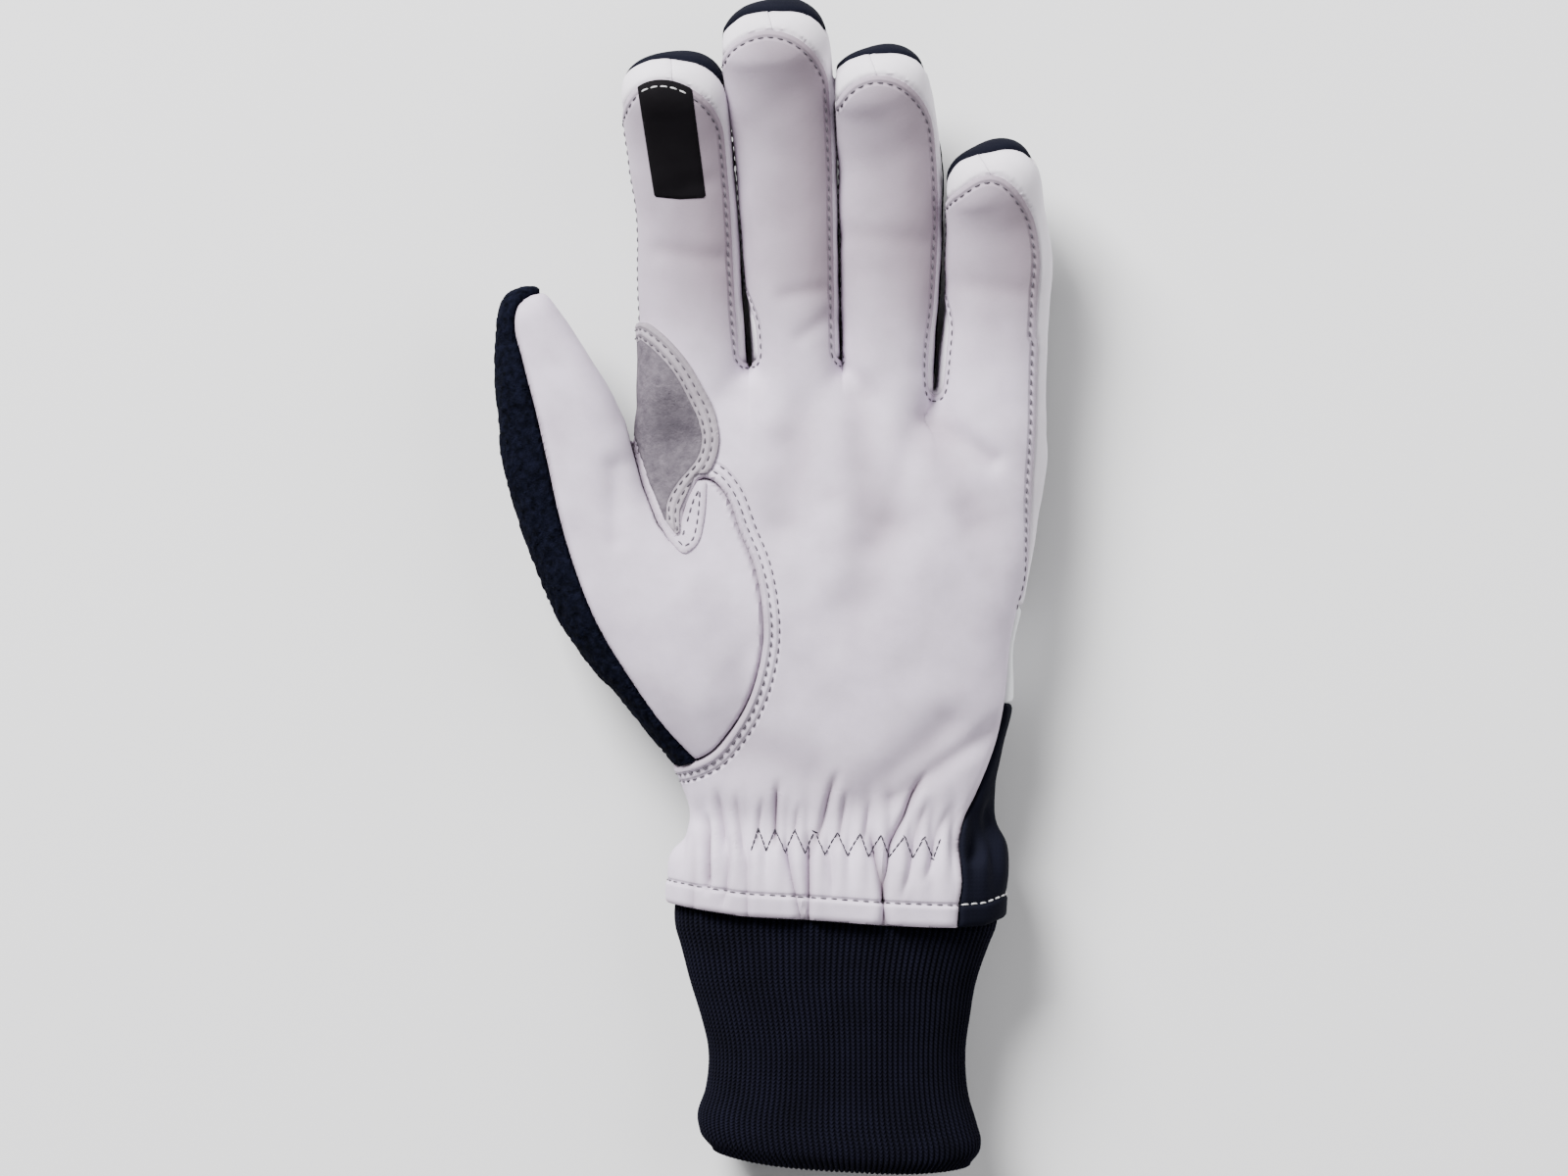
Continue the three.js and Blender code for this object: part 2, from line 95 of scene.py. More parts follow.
def new_finish(name, colour, roughness, gloss=0.3, sheen=0.0):
    """A Principled material: its colour, roughness and gloss, and how much its nap catches the light."""
    finish = bpy.data.materials.new(name)
    finish.use_nodes = True
    for socket, value in [("Base Color", linear(colour)), ("Roughness", roughness), ("Sheen Weight", sheen),
                          ("Specular IOR Level", gloss), ("Sheen Roughness", 0.5)]:
        shader_of(finish).inputs[socket].default_value = value
    return finish


def add_node(finish, kind, links={}, **values):
    """A node of that kind, with its settings and sockets by name, and its links as {socket: output}."""
    tree = finish.node_tree
    made = tree.nodes.new("ShaderNode" + kind)
    for key, value in values.items():
        if hasattr(made, key):
            setattr(made, key, value)
        else:
            made.inputs[key.replace("_", " ").title()].default_value = value
    for socket, source in links.items():
        tree.links.new(source, made.inputs[socket])
    return made


def add_math(finish, operation, first, second=0.0):
    """The output of a Math node. The second value is an output as well, or a number."""
    made = add_node(finish, "Math", {0: first}, operation=operation)
    if isinstance(second, (int, float)):
        made.inputs[1].default_value = second
    else:
        finish.node_tree.links.new(second, made.inputs[1])
    return made.outputs["Value"]


def map_range(finish, value, source, target, **settings):
    """The output of a Map Range node, from one pair of ends to another."""
    made = add_node(finish, "MapRange", {"Value": value}, from_min=source[0], from_max=source[1],
                    to_min=target[0], to_max=target[1], **settings)
    return made.outputs["Result"]


def mix_with(finish, share, colour, code):
    """A colour output that goes over to a hex colour as the share goes to 1."""
    mixed = add_node(finish, "Mix", {"Factor": share}, data_type="RGBA")
    finish.node_tree.links.new(colour, mixed.inputs[6])
    mixed.inputs[7].default_value = linear(code)
    return mixed.outputs[2]


def add_bump(finish, height, strength, depth):
    """Bumps a finish by a height, that many millimetres deep, over the bump that it has already."""
    normal = shader_of(finish).inputs["Normal"]
    links = {"Height": height}
    if normal.links:
        links["Normal"] = normal.links[0].from_socket
    bump = add_node(finish, "Bump", links, strength=strength, distance=depth * MM)
    finish.node_tree.links.new(bump.outputs["Normal"], normal)


floor.data.materials.append(new_finish("pale_floor", "F8F8F9", 0.9))

# The hand form.
# A sewn glove has the shape of the hand that its panels are cut for. This closed form is that shape with its
# padding. It is laid up from a tube for each finger, the thumb and the hand, and the panels are cut from it.

FORM_GRAIN = 0.88  # mm between the form's points
TIP_ROUNDING, THUMB_ROUNDING, BLUNTNESS = 10, 8, 2.4
SQUARENESS, THUMB_SQUARENESS = 2.5, 2.4  # of a limb's section: 2 is an ellipse, more is squarer
PLAN_SHIFT = np.array([0.15, -0.3, 0])  # from the glove's own middle to the middle of its box
# A section of a limb: centre x, y, z, half width and half thickness, all in millimetres
index_sections = [
    (-17.5, 2, 14.8, 12.0, 6.0), (-19.2, 22, 14.8, 13.4, 10.4), (-19.8, 40, 14.8, 13.3, 11.8),
    (-20.0, 54, 14.6, 13.0, 11.6), (-20.6, 72, 15.2, 12.4, 11.4), (-21.3, 91, 17.3, 12.2, 11.2),
    (-23.2, 108, 21.0, 12.7, 11.0), (-24.4, 118.2, 25.2, 12.9, 10.8), (-25.2, 128.3, 31.5, 12.7, 10.6),
]
middle_sections = [
    (7.5, 0, 14.8, 10.0, 6.0), (6.6, 22, 14.8, 11.6, 11.2), (5.6, 40, 14.8, 11.6, 12.2),
    (5.4, 54, 14.6, 10.7, 11.8), (4.6, 72, 15.4, 11.1, 11.6), (3.6, 91, 17.2, 11.8, 11.4),
    (2.4, 111, 20.3, 12.5, 11.3), (1.0, 123, 24.1, 13.2, 11.2), (-0.5, 134, 30.0, 13.3, 11.1),
    (-1.8, 139.5, 35.0, 12.6, 10.8),
]
ring_sections = [
    (28.5, 0, 14.8, 10.0, 6.0), (28.2, 22, 14.7, 11.4, 11.0), (27.9, 40, 14.6, 11.3, 12.0),
    (27.7, 54, 14.4, 10.9, 11.6), (28.3, 72, 15.2, 11.9, 11.4), (28.5, 91, 17.3, 12.5, 11.2),
    (27.7, 109, 21.1, 12.3, 11.0), (26.0, 119.2, 25.6, 12.3, 10.8), (22.8, 129.3, 32.0, 12.3, 10.6),
]
little_sections = [
    (47.0, -8, 14.6, 9.0, 6.0), (50.4, 14, 14.4, 11.8, 10.2), (52.6, 38, 14.2, 13.6, 11.8),
    (53.4, 54, 14.4, 13.0, 11.5), (54.4, 70, 15.6, 12.8, 11.2), (54.8, 80, 17.2, 13.0, 11.0),
    (53.8, 91, 19.8, 12.2, 10.8), (52.8, 98.4, 23.4, 11.8, 10.5), (49.5, 105.2, 28.8, 11.5, 10.2),
]
thumb_sections = [
    (-6.0, -52, 12.0, 8.0, 8.5), (-11.0, -38, 15.0, 14.0, 13.0), (-17.1, -23.6, 16.8, 18.5, 16.2),
    (-24.4, -8.6, 17.8, 22.3, 17.0), (-36.5, 3.2, 18.0, 20.0, 15.5), (-44.3, 14.9, 18.5, 16.5, 14.0),
    (-48.3, 25.2, 19.2, 15.9, 13.2), (-51.0, 34.7, 19.8, 15.6, 12.6), (-53.5, 43.7, 20.6, 14.2, 11.8),
    (-56.3, 52.6, 21.4, 12.0, 10.6), (-58.5, 60, 22.2, 9.5, 9.4), (-60.4, 67, 23.2, 7.2, 7.8),
    (-61.4, 73.2, 24.0, 5.9, 6.6),
]
# The hand's sections stand upright. The last number is how far one drops for each millimetre of x.
hand_sections = [
    (15.0, -89, 15.8, 40.8, 17.2, 0.06), (15.0, -80, 15.8, 40.8, 17.2, 0.06),
    (15.4, -73, 15.8, 40.9, 17.1, 0.06), (16.1, -67.6, 15.2, 40.9, 16.6, 0.05),
    (17.0, -62, 14.2, 39.6, 15.2, 0.03), (17.0, -57.4, 13.8, 37.8, 14.4, 0.01),
    (15.7, -49, 14.3, 38.3, 15.2, 0), (15.1, -42, 14.6, 40.2, 15.8, 0), (14.4, -28.8, 15.0, 43.8, 16.4, 0),
    (13.8, -14.4, 15.4, 44.8, 17.0, 0), (14.7, 0, 15.5, 47.0, 17.2, 0), (15.7, 14.4, 15.2, 48.2, 16.6, 0),
    (16.4, 33, 14.6, 50.0, 14.9, 0), (16.5, 43, 14.5, 49.8, 12.8, 0), (16.8, 50, 14.5, 48.0, 9.0, 0),
    (17.0, 53.6, 14.5, 44.0, 4.0, 0),
]

# The lines between neighbouring fingers seen from above, y then x, from the knuckles to past the tips
finger_gaps = [
    [(30, -6.3), (54, -6.4), (60, -6.8), (72, -7.4), (91, -8.7), (101, -9.5), (111, -10.2), (121, -12.0),
     (132, -13.2)],
    [(30, 16.5), (54, 16.4), (72, 16.05), (91, 15.75), (110, 15.3), (120, 14.8), (132, 14.6)],
    [(30, 39.5), (46, 38.5), (54, 39.5), (66, 41.0), (85, 41.7), (91, 41.5), (101, 41.6), (106, 42)],
]
SPREAD = 2.4  # mm that each gap is opened while the form is made, so that close fingers don't fuse
GAP_HALF = 0.35
TOUCH_REACH = 3  # mm from a gap's line, the reach of what closes it below the fingers' middle height
finger_middles = [(54, 14.6), (72, 15.3), (91, 17.2), (109, 21.0), (120, 25.3), (130, 31.0)]  # y, then z


def smoothstep(low, high, value):
    share = np.clip((value - low) / (high - low), 0, 1)
    return share * share * (3 - 2 * share)


def read_at(table, value):
    """A table of two columns, read between its rows."""
    return np.interp(value, *np.array(table).T)


def parted(y):
    """How far the fingers stand apart at each y: 0 in the palm, 1 along the fingers."""
    return smoothstep(24, 46, y)


def run_of(line):
    """How far each point of a line is along it."""
    return np.r_[0, np.cumsum(np.linalg.norm(np.diff(line, axis=0), axis=1))]


def points_at(line, run, at):
    """The points of a line at those distances along it."""
    return np.stack([np.interp(at, run, column) for column in line.T], axis=1)


def along(sections, count):
    """The sections at even distances on a smooth path through them, and how far each is from its end."""
    rows = np.array(sections, float)
    run = run_of(rows[:, :3])
    slope = np.gradient(rows, run, axis=0)
    at = np.linspace(0, run[-1], count)
    i = np.clip(np.searchsorted(run, at, side="right") - 1, 0, len(run) - 2)
    step = (run[i + 1] - run[i])[:, None]
    t = (at - run[i])[:, None] / step
    start = (2 * t**3 - 3 * t**2 + 1) * rows[i] + (t**3 - 2 * t**2 + t) * step * slope[i]
    end = (3 * t**2 - 2 * t**3) * rows[i + 1] + (t**3 - t**2) * step * slope[i + 1]
    return start + end, run[-1] - at


def spread_fingers(points, direction):
    """Moves each finger sideways out of its place (direction 1) or back into it (-1)."""
    x, y = points[:, 0], points[:, 1]
    ramp = parted(y)
    moved = np.full(len(x), -1.5 * SPREAD)
    for number, line in enumerate(finger_gaps):
        gap = read_at(line, y)
        half = GAP_HALF
        if direction < 0:
            gap = gap + (number - 1) * SPREAD * ramp
            half = GAP_HALF + SPREAD / 2 * ramp
        moved += SPREAD * np.clip((x - gap + half) / (2 * half), 0, 1)
    points[:, 0] += direction * ramp * moved
    return points


def mend(weld=False, fill=False):
    """Turns the active object's faces outwards, once its seam is welded and its ends filled if asked."""
    bpy.ops.object.mode_set(mode="EDIT")
    bpy.ops.mesh.select_all(action="SELECT")
    if weld:
        bpy.ops.mesh.remove_doubles(threshold=1e-6)
    if fill:
        bpy.ops.mesh.fill_holes(sides=0)
    bpy.ops.mesh.normals_make_consistent(inside=False)
    bpy.ops.object.mode_set(mode="OBJECT")


def select_only(obj):
    bpy.ops.object.select_all(action="DESELECT")
    obj.select_set(True)
    bpy.context.view_layer.objects.active = obj


def new_object(name, corners, faces):
    """An object from its points in millimetres and its faces, linked and active."""
    mesh = bpy.data.meshes.new(name)
    mesh.from_pydata(corners * MM, [], faces)
    made = bpy.data.objects.new(name, mesh)
    bpy.context.collection.objects.link(made)
    select_only(made)
    return made


def rolled_tube(name, sections, sides, count, power, tip):
    """A flat grid rolled into a closed tube of rounded-square sections. Fingers stay square to their path."""
    bpy.ops.mesh.primitive_grid_add(x_subdivisions=sides, y_subdivisions=count - 1)
    tube = bpy.context.object
    tube.name = name
    rows, to_end = along(sections, count)
    centre, width, thick = rows[:, :3], rows[:, 3], rows[:, 4]
    if tip:
        closing = np.maximum((1 - (1 - np.minimum(1, to_end / tip)) ** BLUNTNESS) ** (1 / BLUNTNESS), 0.08)
        width, thick = width * closing, thick * closing
        tangent = np.gradient(centre, axis=0)
    else:
        tangent = np.tile([0.0, 1.0, 0.0], (count, 1))
    tangent /= np.linalg.norm(tangent, axis=1)[:, None]
    across = np.cross(tangent, [0, 0, 1])
    across /= np.linalg.norm(across, axis=1)[:, None]
    up = np.cross(across, tangent)
    if not tip:
        across[:, 1] -= rows[:, 5]
    angle = np.linspace(0, 2 * np.pi, sides + 1)
    wide = np.sign(np.cos(angle)) * np.abs(np.cos(angle)) ** (2 / power)
    high = np.sign(np.sin(angle)) * np.abs(np.sin(angle)) ** (2 / power)
    points = (centre[:, None] + across[:, None] * (width[:, None] * wide)[..., None]
              + up[:, None] * (thick[:, None] * high)[..., None])
    tube.data.vertices.foreach_set("co", points.reshape(-1) * MM)
    mend(weld=True, fill=True)
    return tube


def points_of(obj):
    """An object's points in millimetres, in the glove's own frame."""
    points = np.empty(len(obj.data.vertices) * 3)
    obj.data.vertices.foreach_get("co", points)
    return points.reshape(-1, 3) / MM


def set_points(obj, points):
    obj.data.vertices.foreach_set("co", (points * MM).reshape(-1))
    obj.data.update()


KNUCKLE_DROP = 8  # the hand ends this much lower at the little finger
limbs = [index_sections, middle_sections, ring_sections, little_sections]
parts = [rolled_tube(f"finger_{i}", rows, 56, 220, SQUARENESS, TIP_ROUNDING) for i, rows in enumerate(limbs)]
parts.append(rolled_tube("thumb", thumb_sections, 64, 190, THUMB_SQUARENESS, THUMB_ROUNDING))
hand = rolled_tube("hand", hand_sections, 128, 190, SQUARENESS, 0)
points = points_of(hand)
points[:, 1] -= KNUCKLE_DROP * smoothstep(20, 40, points[:, 0]) * smoothstep(14, 52, points[:, 1])
set_points(hand, points)
parts.append(hand)
for number, part in enumerate(parts):
    points = points_of(part)
    if number < 4:
        points[:, 0] += (number - 1.5) * SPREAD * parted(points[:, 1])
    elif number == 4:
        points[:, 0] -= 1.5 * SPREAD * parted(points[:, 1])
    else:
        points = spread_fingers(points, 1)
    set_points(part, points)

bpy.ops.object.select_all(action="DESELECT")
for part in parts:
    part.select_set(True)
bpy.context.view_layer.objects.active = parts[0]
bpy.ops.object.join()
form = bpy.context.object
form.name = "hand_form"
form.data.remesh_voxel_size = FORM_GRAIN * MM
bpy.ops.object.voxel_remesh()


def smooth(obj, times, weights=None):
    """Relaxes an object's points, all of them or as far as their weights say."""
    modifier = obj.modifiers.new("relax", "SMOOTH")
    modifier.factor = 0.5
    modifier.iterations = times
    if weights is not None:
        group = obj.vertex_groups.new(name="relax")
        for step in range(1, 11):
            chosen = np.nonzero(np.round(weights * 10) == step)[0]
            group.add(chosen.tolist(), step / 10, "REPLACE")
        modifier.vertex_group = "relax"
    bpy.context.view_layer.objects.active = obj
    bpy.ops.object.modifier_apply(modifier="relax")
    obj.vertex_groups.clear()


smooth(form, 6)
# The finger roots and the ball of the thumb run softly into the palm
points = points_of(form)
x, y, z = points.T
roots = smoothstep(15, 21, z) * smoothstep(-40, -10, y) * (1 - smoothstep(46, 56, y))
roots *= np.maximum(smoothstep(-38, -30, x), 1 - smoothstep(6, 20, y))
smooth(form, 60, roots)
points = spread_fingers(points_of(form), -1)
# Below their middle height neighbouring fingers touch, so that no light comes up between them
y = points[:, 1]
under = points[:, 2] - read_at(finger_middles, y)
for line in finger_gaps:
    away = points[:, 0] - read_at(line, y)
    share = smoothstep(-1, -4, under) * smoothstep(40, 50, y) * (1 - smoothstep(106, 116, y))
    closer = np.sign(away) * TOUCH_REACH * (np.minimum(np.abs(away), TOUCH_REACH) / TOUCH_REACH) ** 2.2
    points[:, 0] += np.where(np.abs(away) < TOUCH_REACH, (closer - away) * share, 0)
set_points(form, points)
# The wrist's gathers are finer than the rest, so its palm side gets points half as far apart
bpy.context.view_layer.objects.active = form
bpy.ops.object.mode_set(mode="EDIT")
bpy.ops.mesh.select_mode(type="FACE")
bpy.ops.mesh.select_all(action="DESELECT")
bpy.ops.object.mode_set(mode="OBJECT")
for face in form.data.polygons:
    face.select = face.center.z > 18 * MM and -79 * MM < face.center.y < -50 * MM
bpy.ops.object.mode_set(mode="EDIT")
bpy.ops.mesh.subdivide()
bpy.ops.object.mode_set(mode="OBJECT")
points = points_of(form)

# Folds of the palm, made as the hand half closes: from x, y to x, y, how deep and how wide
palm_folds = [
    (6, 40, 2, 16, 1.9, 6.5), (21, 46, 24, 12, 2.3, 5.5), (38, 40, 50, 16, 2.0, 6),
    (30, 14, 20, -4, 1.4, 6.5), (-8, -40, 8, -46, 1.5, 7), (22, -52, 42, -34, 1.8, 5),
    (38, 42, 53, 31, 1.5, 2.4), (33, 36, 28, 16, 1.1, 4), (4, 36, 12, 22, 0.8, 4),
    (-38.4, 29, -38.4, 12, 0.9, 3), (29, -52, 54, -34, 1.3, 2.6), (-4, 44, -12, 47, 0.6, 4),
    (-25.6, 42, -25, 37, 1.6, 4.5), (-24, -14, -14, -30, 0.5, 6), (46, 18, 52, 4, 0.6, 5),
    (-28, 82, -14, 80, 0.5, 2.6), (2, 71, 11, 72.5, 0.5, 2.2), (6, 61, 13, 66, 0.5, 2.2),
    (18, 86, 36, 84, 0.4, 3), (44, 74, 60, 72, 0.4, 2.8), (-26, 96, -16, 99, 0.3, 2.4),
]
# Creases that the elastic draws into the wrist: x at the elastic, where each ends above and below, its depth
# and half width, and how far it leans to +X for each millimetre upwards
wrist_creases = [
    (-16.3, -57, -73, 2.6, 0.9, 0.0), (-12.2, -50, -62, 1.4, 0.9, -0.15), (-10.8, -62, -76, 1.2, 0.8, 0.1),
    (-8.3, -51, -64, 1.2, 0.8, -0.1), (-4.5, -53, -63, 1.3, 0.7, 0.1), (0.0, -48.5, -62, 2.6, 0.8, 0.02),
    (2.6, -62, -83, 1.9, 0.8, -0.2), (4.6, -54, -61, 1.4, 0.7, 0.1), (8.2, -61, -84, 2.4, 0.8, 0.0),
    (9.9, -46, -63, 1.9, 0.9, 0.28), (15.4, -51, -62, 1.6, 0.8, 0.12), (14.0, -64, -74, 0.8, 0.8, 0.0),
    (21.0, -54, -62, 1.2, 0.8, 0.2), (24.0, -60, -84, 2.5, 0.8, -0.17), (27.6, -61, -85, 2.2, 0.7, 0.1),
    (27.9, -47, -62, 2.5, 0.9, 0.5), (34.0, -53, -74, 1.1, 0.9, 0.25), (39.0, -55, -70, 1.1, 0.9, 0.3),
    (-19.6, -60, -84, 1.0, 0.9, 0.0), (-6.6, -64, -84, 0.9, 0.8, 0.0), (50.0, -52, -66, 2.2, 2.0, 0.35),
]
ELASTIC_Y = -62.4
PUFF, BACK_PUFF = 5.05, 6.5  # mm between the elastic's gathers, in the palm one for each zigzag tooth
# Folds and creases are painted darker as well as dented: this is painted shade.
FOLD_SHADE, CREASE_SHADE = 0.16, 0.3  # how dark a fold or a crease gets for each millimetre of its depth


def groove(points, x0, y0, x1, y1, depth, reach):
    """How deep a soft fold from one point to another is at each point of the plan."""
    start, run = np.array([x0, y0]), np.array([x1 - x0, y1 - y0])
    share = np.clip((points[:, :2] - start) @ run / (run @ run), 0, 1)
    away = np.linalg.norm(points[:, :2] - start - share[:, None] * run, axis=1)
    return depth * np.exp(-(away / reach) ** 2)


def normals_of(obj):
    normals = np.empty(len(obj.data.vertices) * 3)
    obj.data.vertex_normals.foreach_get("vector", normals)
    return normals.reshape(-1, 3)


set_points(form, points)
normals = normals_of(form)
x, y, z = points.T
palm_side = smoothstep(13, 19, z)
relief = -sum(groove(points, *fold) for fold in palm_folds) * palm_side
# Painted shade in the palm's folds and the wrist's creases, from 0 to 1, which the leather mixes towards its
# edge colour
painted_shade = -FOLD_SHADE * relief  # from 0 to 1
near_elastic = np.exp(-((y - ELASTIC_Y) / 9) ** 2)
for at, top, bottom, depth, half, lean in wrist_creases:
    line = at + lean * (y - ELASTIC_Y)
    length = smoothstep(top + 3, top - 4, y) * smoothstep(bottom - 2.5, bottom + 3, y)
    drawn_in = palm_side * depth * length * np.exp(-((x - line) / (1.2 * half)) ** 2)
    relief -= 0.9 * drawn_in
    painted_shade += CREASE_SHADE * drawn_in
# Between its stitches the elastic gathers the leather into small even puffs, and the back as well
relief += near_elastic * (0.7 * palm_side * np.cos(2 * np.pi * (x - 0.4) / PUFF)
                          + 0.6 * (1 - palm_side) * np.cos(2 * np.pi * (x + 1.5 * np.sin(x / 7)) / BACK_PUFF))
# A worn, padded surface is never quite even
uneven = np.array([noise.noise(Vector(p) / 17) + 0.5 * noise.noise(Vector(p) / 8) for p in points])
relief += 0.45 * uneven * smoothstep(0.5, 4, z)
points += relief[:, None] * normals
# Its own weight and its padding flatten the glove where it lies
points[:, 2] = np.where(points[:, 2] < 0.7, 0.7 * np.exp((points[:, 2] - 0.7) / 0.7), points[:, 2]) - 0.02
set_points(form, points)
smooth(form, 1)
points = points_of(form)
normals = normals_of(form)
form.data.calc_loop_triangles()
triangles = np.empty(len(form.data.loop_triangles) * 3, np.int32)
form.data.loop_triangles.foreach_get("vertices", triangles)
triangles = triangles.reshape(-1, 3)
form.hide_render = True

# The pattern.
# Each panel is a region of the form. A region is a number at every point of the form, over zero inside the
# panel and close to the distance from its edge, so that panels are cut, lapped and stitched by that number.

SEAM_HALF = 0.12  # mm, half the gap between two panels that meet
HAND_MIDDLE = 15  # mm, height of the seam along the hand's sides
SCRAP_FACES = 200  # a loose scrap of a panel has fewer


def smooth_line(corners):
    """A smooth line of 60 points through a few points of the plan."""
    return along(corners, 60)[0].tolist()


def beside(line, places):
    """How far each place is from a line of the plan."""
    line = np.array(line, float)
    nearest = np.full(len(places), np.inf)
    for start, end in zip(line[:-1], line[1:]):
        run = end - start
        share = np.clip((places[:, :2] - start) @ run / (run @ run), 0, 1)
        nearest = np.minimum(nearest, ((places[:, :2] - start - share[:, None] * run) ** 2).sum(1))
    return np.sqrt(nearest)


def inside(outline, places=None):
    """How far each place, or each of the form's points, is inside a closed outline of the plan."""
    places = points if places is None else places
    x, y = places[:, 0], places[:, 1]
    corners = [*outline, outline[0]]
    odd = np.zeros(len(x), bool)
    for (ax, ay), (bx, by) in zip(corners[:-1], corners[1:]):
        if ay != by:
            odd ^= ((ay > y) != (by > y)) & (x < (bx - ax) * (y - ay) / (by - ay) + ax)
    return np.where(odd, 1, -1) * beside(corners, places)


def both(*regions):
    return np.minimum.reduce(regions)


def either(first, second, blend=0.0):
    """The union of two regions, with its inner corners rounded by about blend millimetres."""
    if not blend:
        return np.maximum(first, second)
    near = np.clip(0.5 + (first - second) / (2 * blend), 0, 1)
    return second + (first - second) * near + blend * near * (1 - near)


def limb_places(sections, chosen):
    """For the chosen points, seen from above: how far across the limb and over its middle line, the limb's
    half width, and how far it still is to the tip."""
    rows, _ = along(sections, 2000)
    centre = rows[:, :2]
    tangent = np.gradient(centre, axis=0)
    tangent /= np.linalg.norm(tangent, axis=1)[:, None]
    tree = kdtree.KDTree(len(centre))
    for i, (x, y) in enumerate(centre):
        tree.insert((x, y, 0), i)
    tree.balance()
    at = np.array([tree.find((x, y, 0))[1] for x, y, _ in points[chosen]])
    away = points[chosen, :2] - centre[at]
    past = np.where(at == len(centre) - 1, (away * tangent[-1]).sum(1), 0)
    to_tip = np.linalg.norm(centre[at] - centre[-1], axis=1) - past
    across = away[:, 0] * tangent[at, 1] - away[:, 1] * tangent[at, 0]
    return across, points[chosen, 2] - rows[at, 2], rows[at, 3], to_tip


# The finger that each point belongs to, and its place along that finger
finger_of = np.zeros(len(points), int)
for line in finger_gaps:
    finger_of += points[:, 0] > read_at(line, points[:, 1])
across, over, half_width, to_tip = np.zeros((4, len(points)))
for number, sections in enumerate(limbs):
    chosen = np.nonzero(finger_of == number)[0]
    across[chosen], over[chosen], half_width[chosen], to_tip[chosen] = limb_places(sections, chosen)
across_thumb, over_thumb, _, _ = limb_places(thumb_sections, np.arange(len(points)))
# Painted shade: the finger fronts are a little greyer than the palm, as they would be in less light, and most
# so towards the little finger
painted_shade = painted_shade + smoothstep(44, 80, points[:, 1]) * (0.72 + 0.28 * across / half_width)

thumb_hole = smooth_line([
    (-18.6, 26.6), (-16.9, 26.8), (-14.6, 25.7), (-12.2, 22.8), (-8.4, 13.2), (-5, 4.8), (-3.2, -4.8),
    (-2.9, -12), (-4.1, -19.9), (-7, -28.6), (-10.8, -35), (-15.6, -40.4), (-20.4, -42.8), (-26, -43.9),
])
thumb_crotch = [
    (-45, 90), (-38, 50), (-34.6, 36), (-33.1, 30.5), (-31.6, 25), (-28.1, 16), (-24.6, 11.4),
    (-22.6, 12.4), (-22, 18.7), (-19.9, 23.4),
]
thumb_seam = smooth_line([
    (-19.4, -42.6), (-27.4, -34), (-35.6, -22.4), (-43.6, -9), (-48.8, 4), (-52.6, 17), (-55.6, 31),
    (-58.4, 43), (-61.8, 56), (-63.6, 63), (-63.4, 67), (-61.8, 70), (-59.4, 71.6),
])
little_side_seam = smooth_line([
    (63.4, 60), (62.8, 46), (62.3, 29), (62, 13), (61.2, 2), (59.3, -6), (57.9, -13), (56.6, -27),
    (55.2, -35), (51.4, -46), (46.4, -56), (42.6, -61.4), (44.6, -66), (45.7, -71), (44.8, -78),
    (44.4, -92),
])
# The suede patch between thumb and index finger: its sewn edge, and the rest of its outline
saddle_edge = smooth_line([
    (-38, 61), (-34.1, 64.2), (-31.6, 64.9), (-28, 62.6), (-25.4, 60.1), (-21.3, 55.1), (-17.7, 48.7),
    (-14.5, 41.5), (-13.5, 36), (-15.2, 29.2), (-17.4, 26.2), (-19.9, 23.3), (-22.2, 18.7), (-22.7, 15.1),
    (-22.5, 12.6), (-24.5, 11.4),
])
saddle_outline = saddle_edge + [(-28.1, 16), (-31.4, 24), (-34, 31.5), (-60, 34), (-60, 61)]
hem_line = [
    (-40, -75.4), (-26.4, -76.8), (-19.7, -78), (-7.7, -79.7), (9.8, -80.6), (25.7, -81.8), (37.7, -82.4),
    (44.2, -82.6), (51, -82.2), (56.3, -80.4), (60, -78),
]


def over_hem(places):
    """How far each place is above the hem's lower edge."""
    return places[:, 1] - read_at(hem_line, places[:, 0])


upper_share = smoothstep(HAND_MIDDLE - 6, HAND_MIDDLE + 5, points[:, 2])
thumb_top = inside([(-90, 90), *thumb_crotch, *thumb_hole, (-90, -43.9)])
thumb_under = inside([(-90, 90), (-45, 90), (-38, 50), (-34.6, 36), (-31.5, 20), (-27.5, 0), (-26, -20),
                      (-26, -43.9), (-90, -43.9)])
thumb_region = thumb_top * upper_share + thumb_under * (1 - upper_share)

FRONT_ROUNDING = 12  # the finger fronts stop short of the tips in a half round, which leans to the thumb
# Where each front ends: from the finger's left and right edges, and from the end of its middle line
front_insets = np.array([(-0.4, 1.9, 5.8), (-0.6, 1.5, 5.1), (-0.6, 1.5, 5.8), (-0.6, 3.5, 5.7)])[finger_of]
front_insets[:, 0] += np.array([0, 1.9, 0.4, 1.9])[finger_of] * (1 - smoothstep(62, 76, points[:, 1]))
front_half = half_width - front_insets[:, :2].sum(1) / 2
front_across = np.abs(across - (front_insets[:, 0] - front_insets[:, 1]) / 2) / front_half
front_end = np.clip((FRONT_ROUNDING + front_insets[:, 2] - to_tip + 0.2 * across) / FRONT_ROUNDING, 0, None)
finger_fronts = both((1 - np.hypot(front_across, front_end)) * front_half, over)
palm_outline = [(-90, -92), (-90, 61), (-26, 61), (-9.5, 55), (-4, 55), (15, 55.5), (18, 55.5), (36, 47),
                (41, 47), *little_side_seam]
palm_proper = both(inside(palm_outline), points[:, 2] - HAND_MIDDLE)
palm_region = both(either(palm_proper, finger_fronts, 2.5), -thumb_region, over_hem(points))

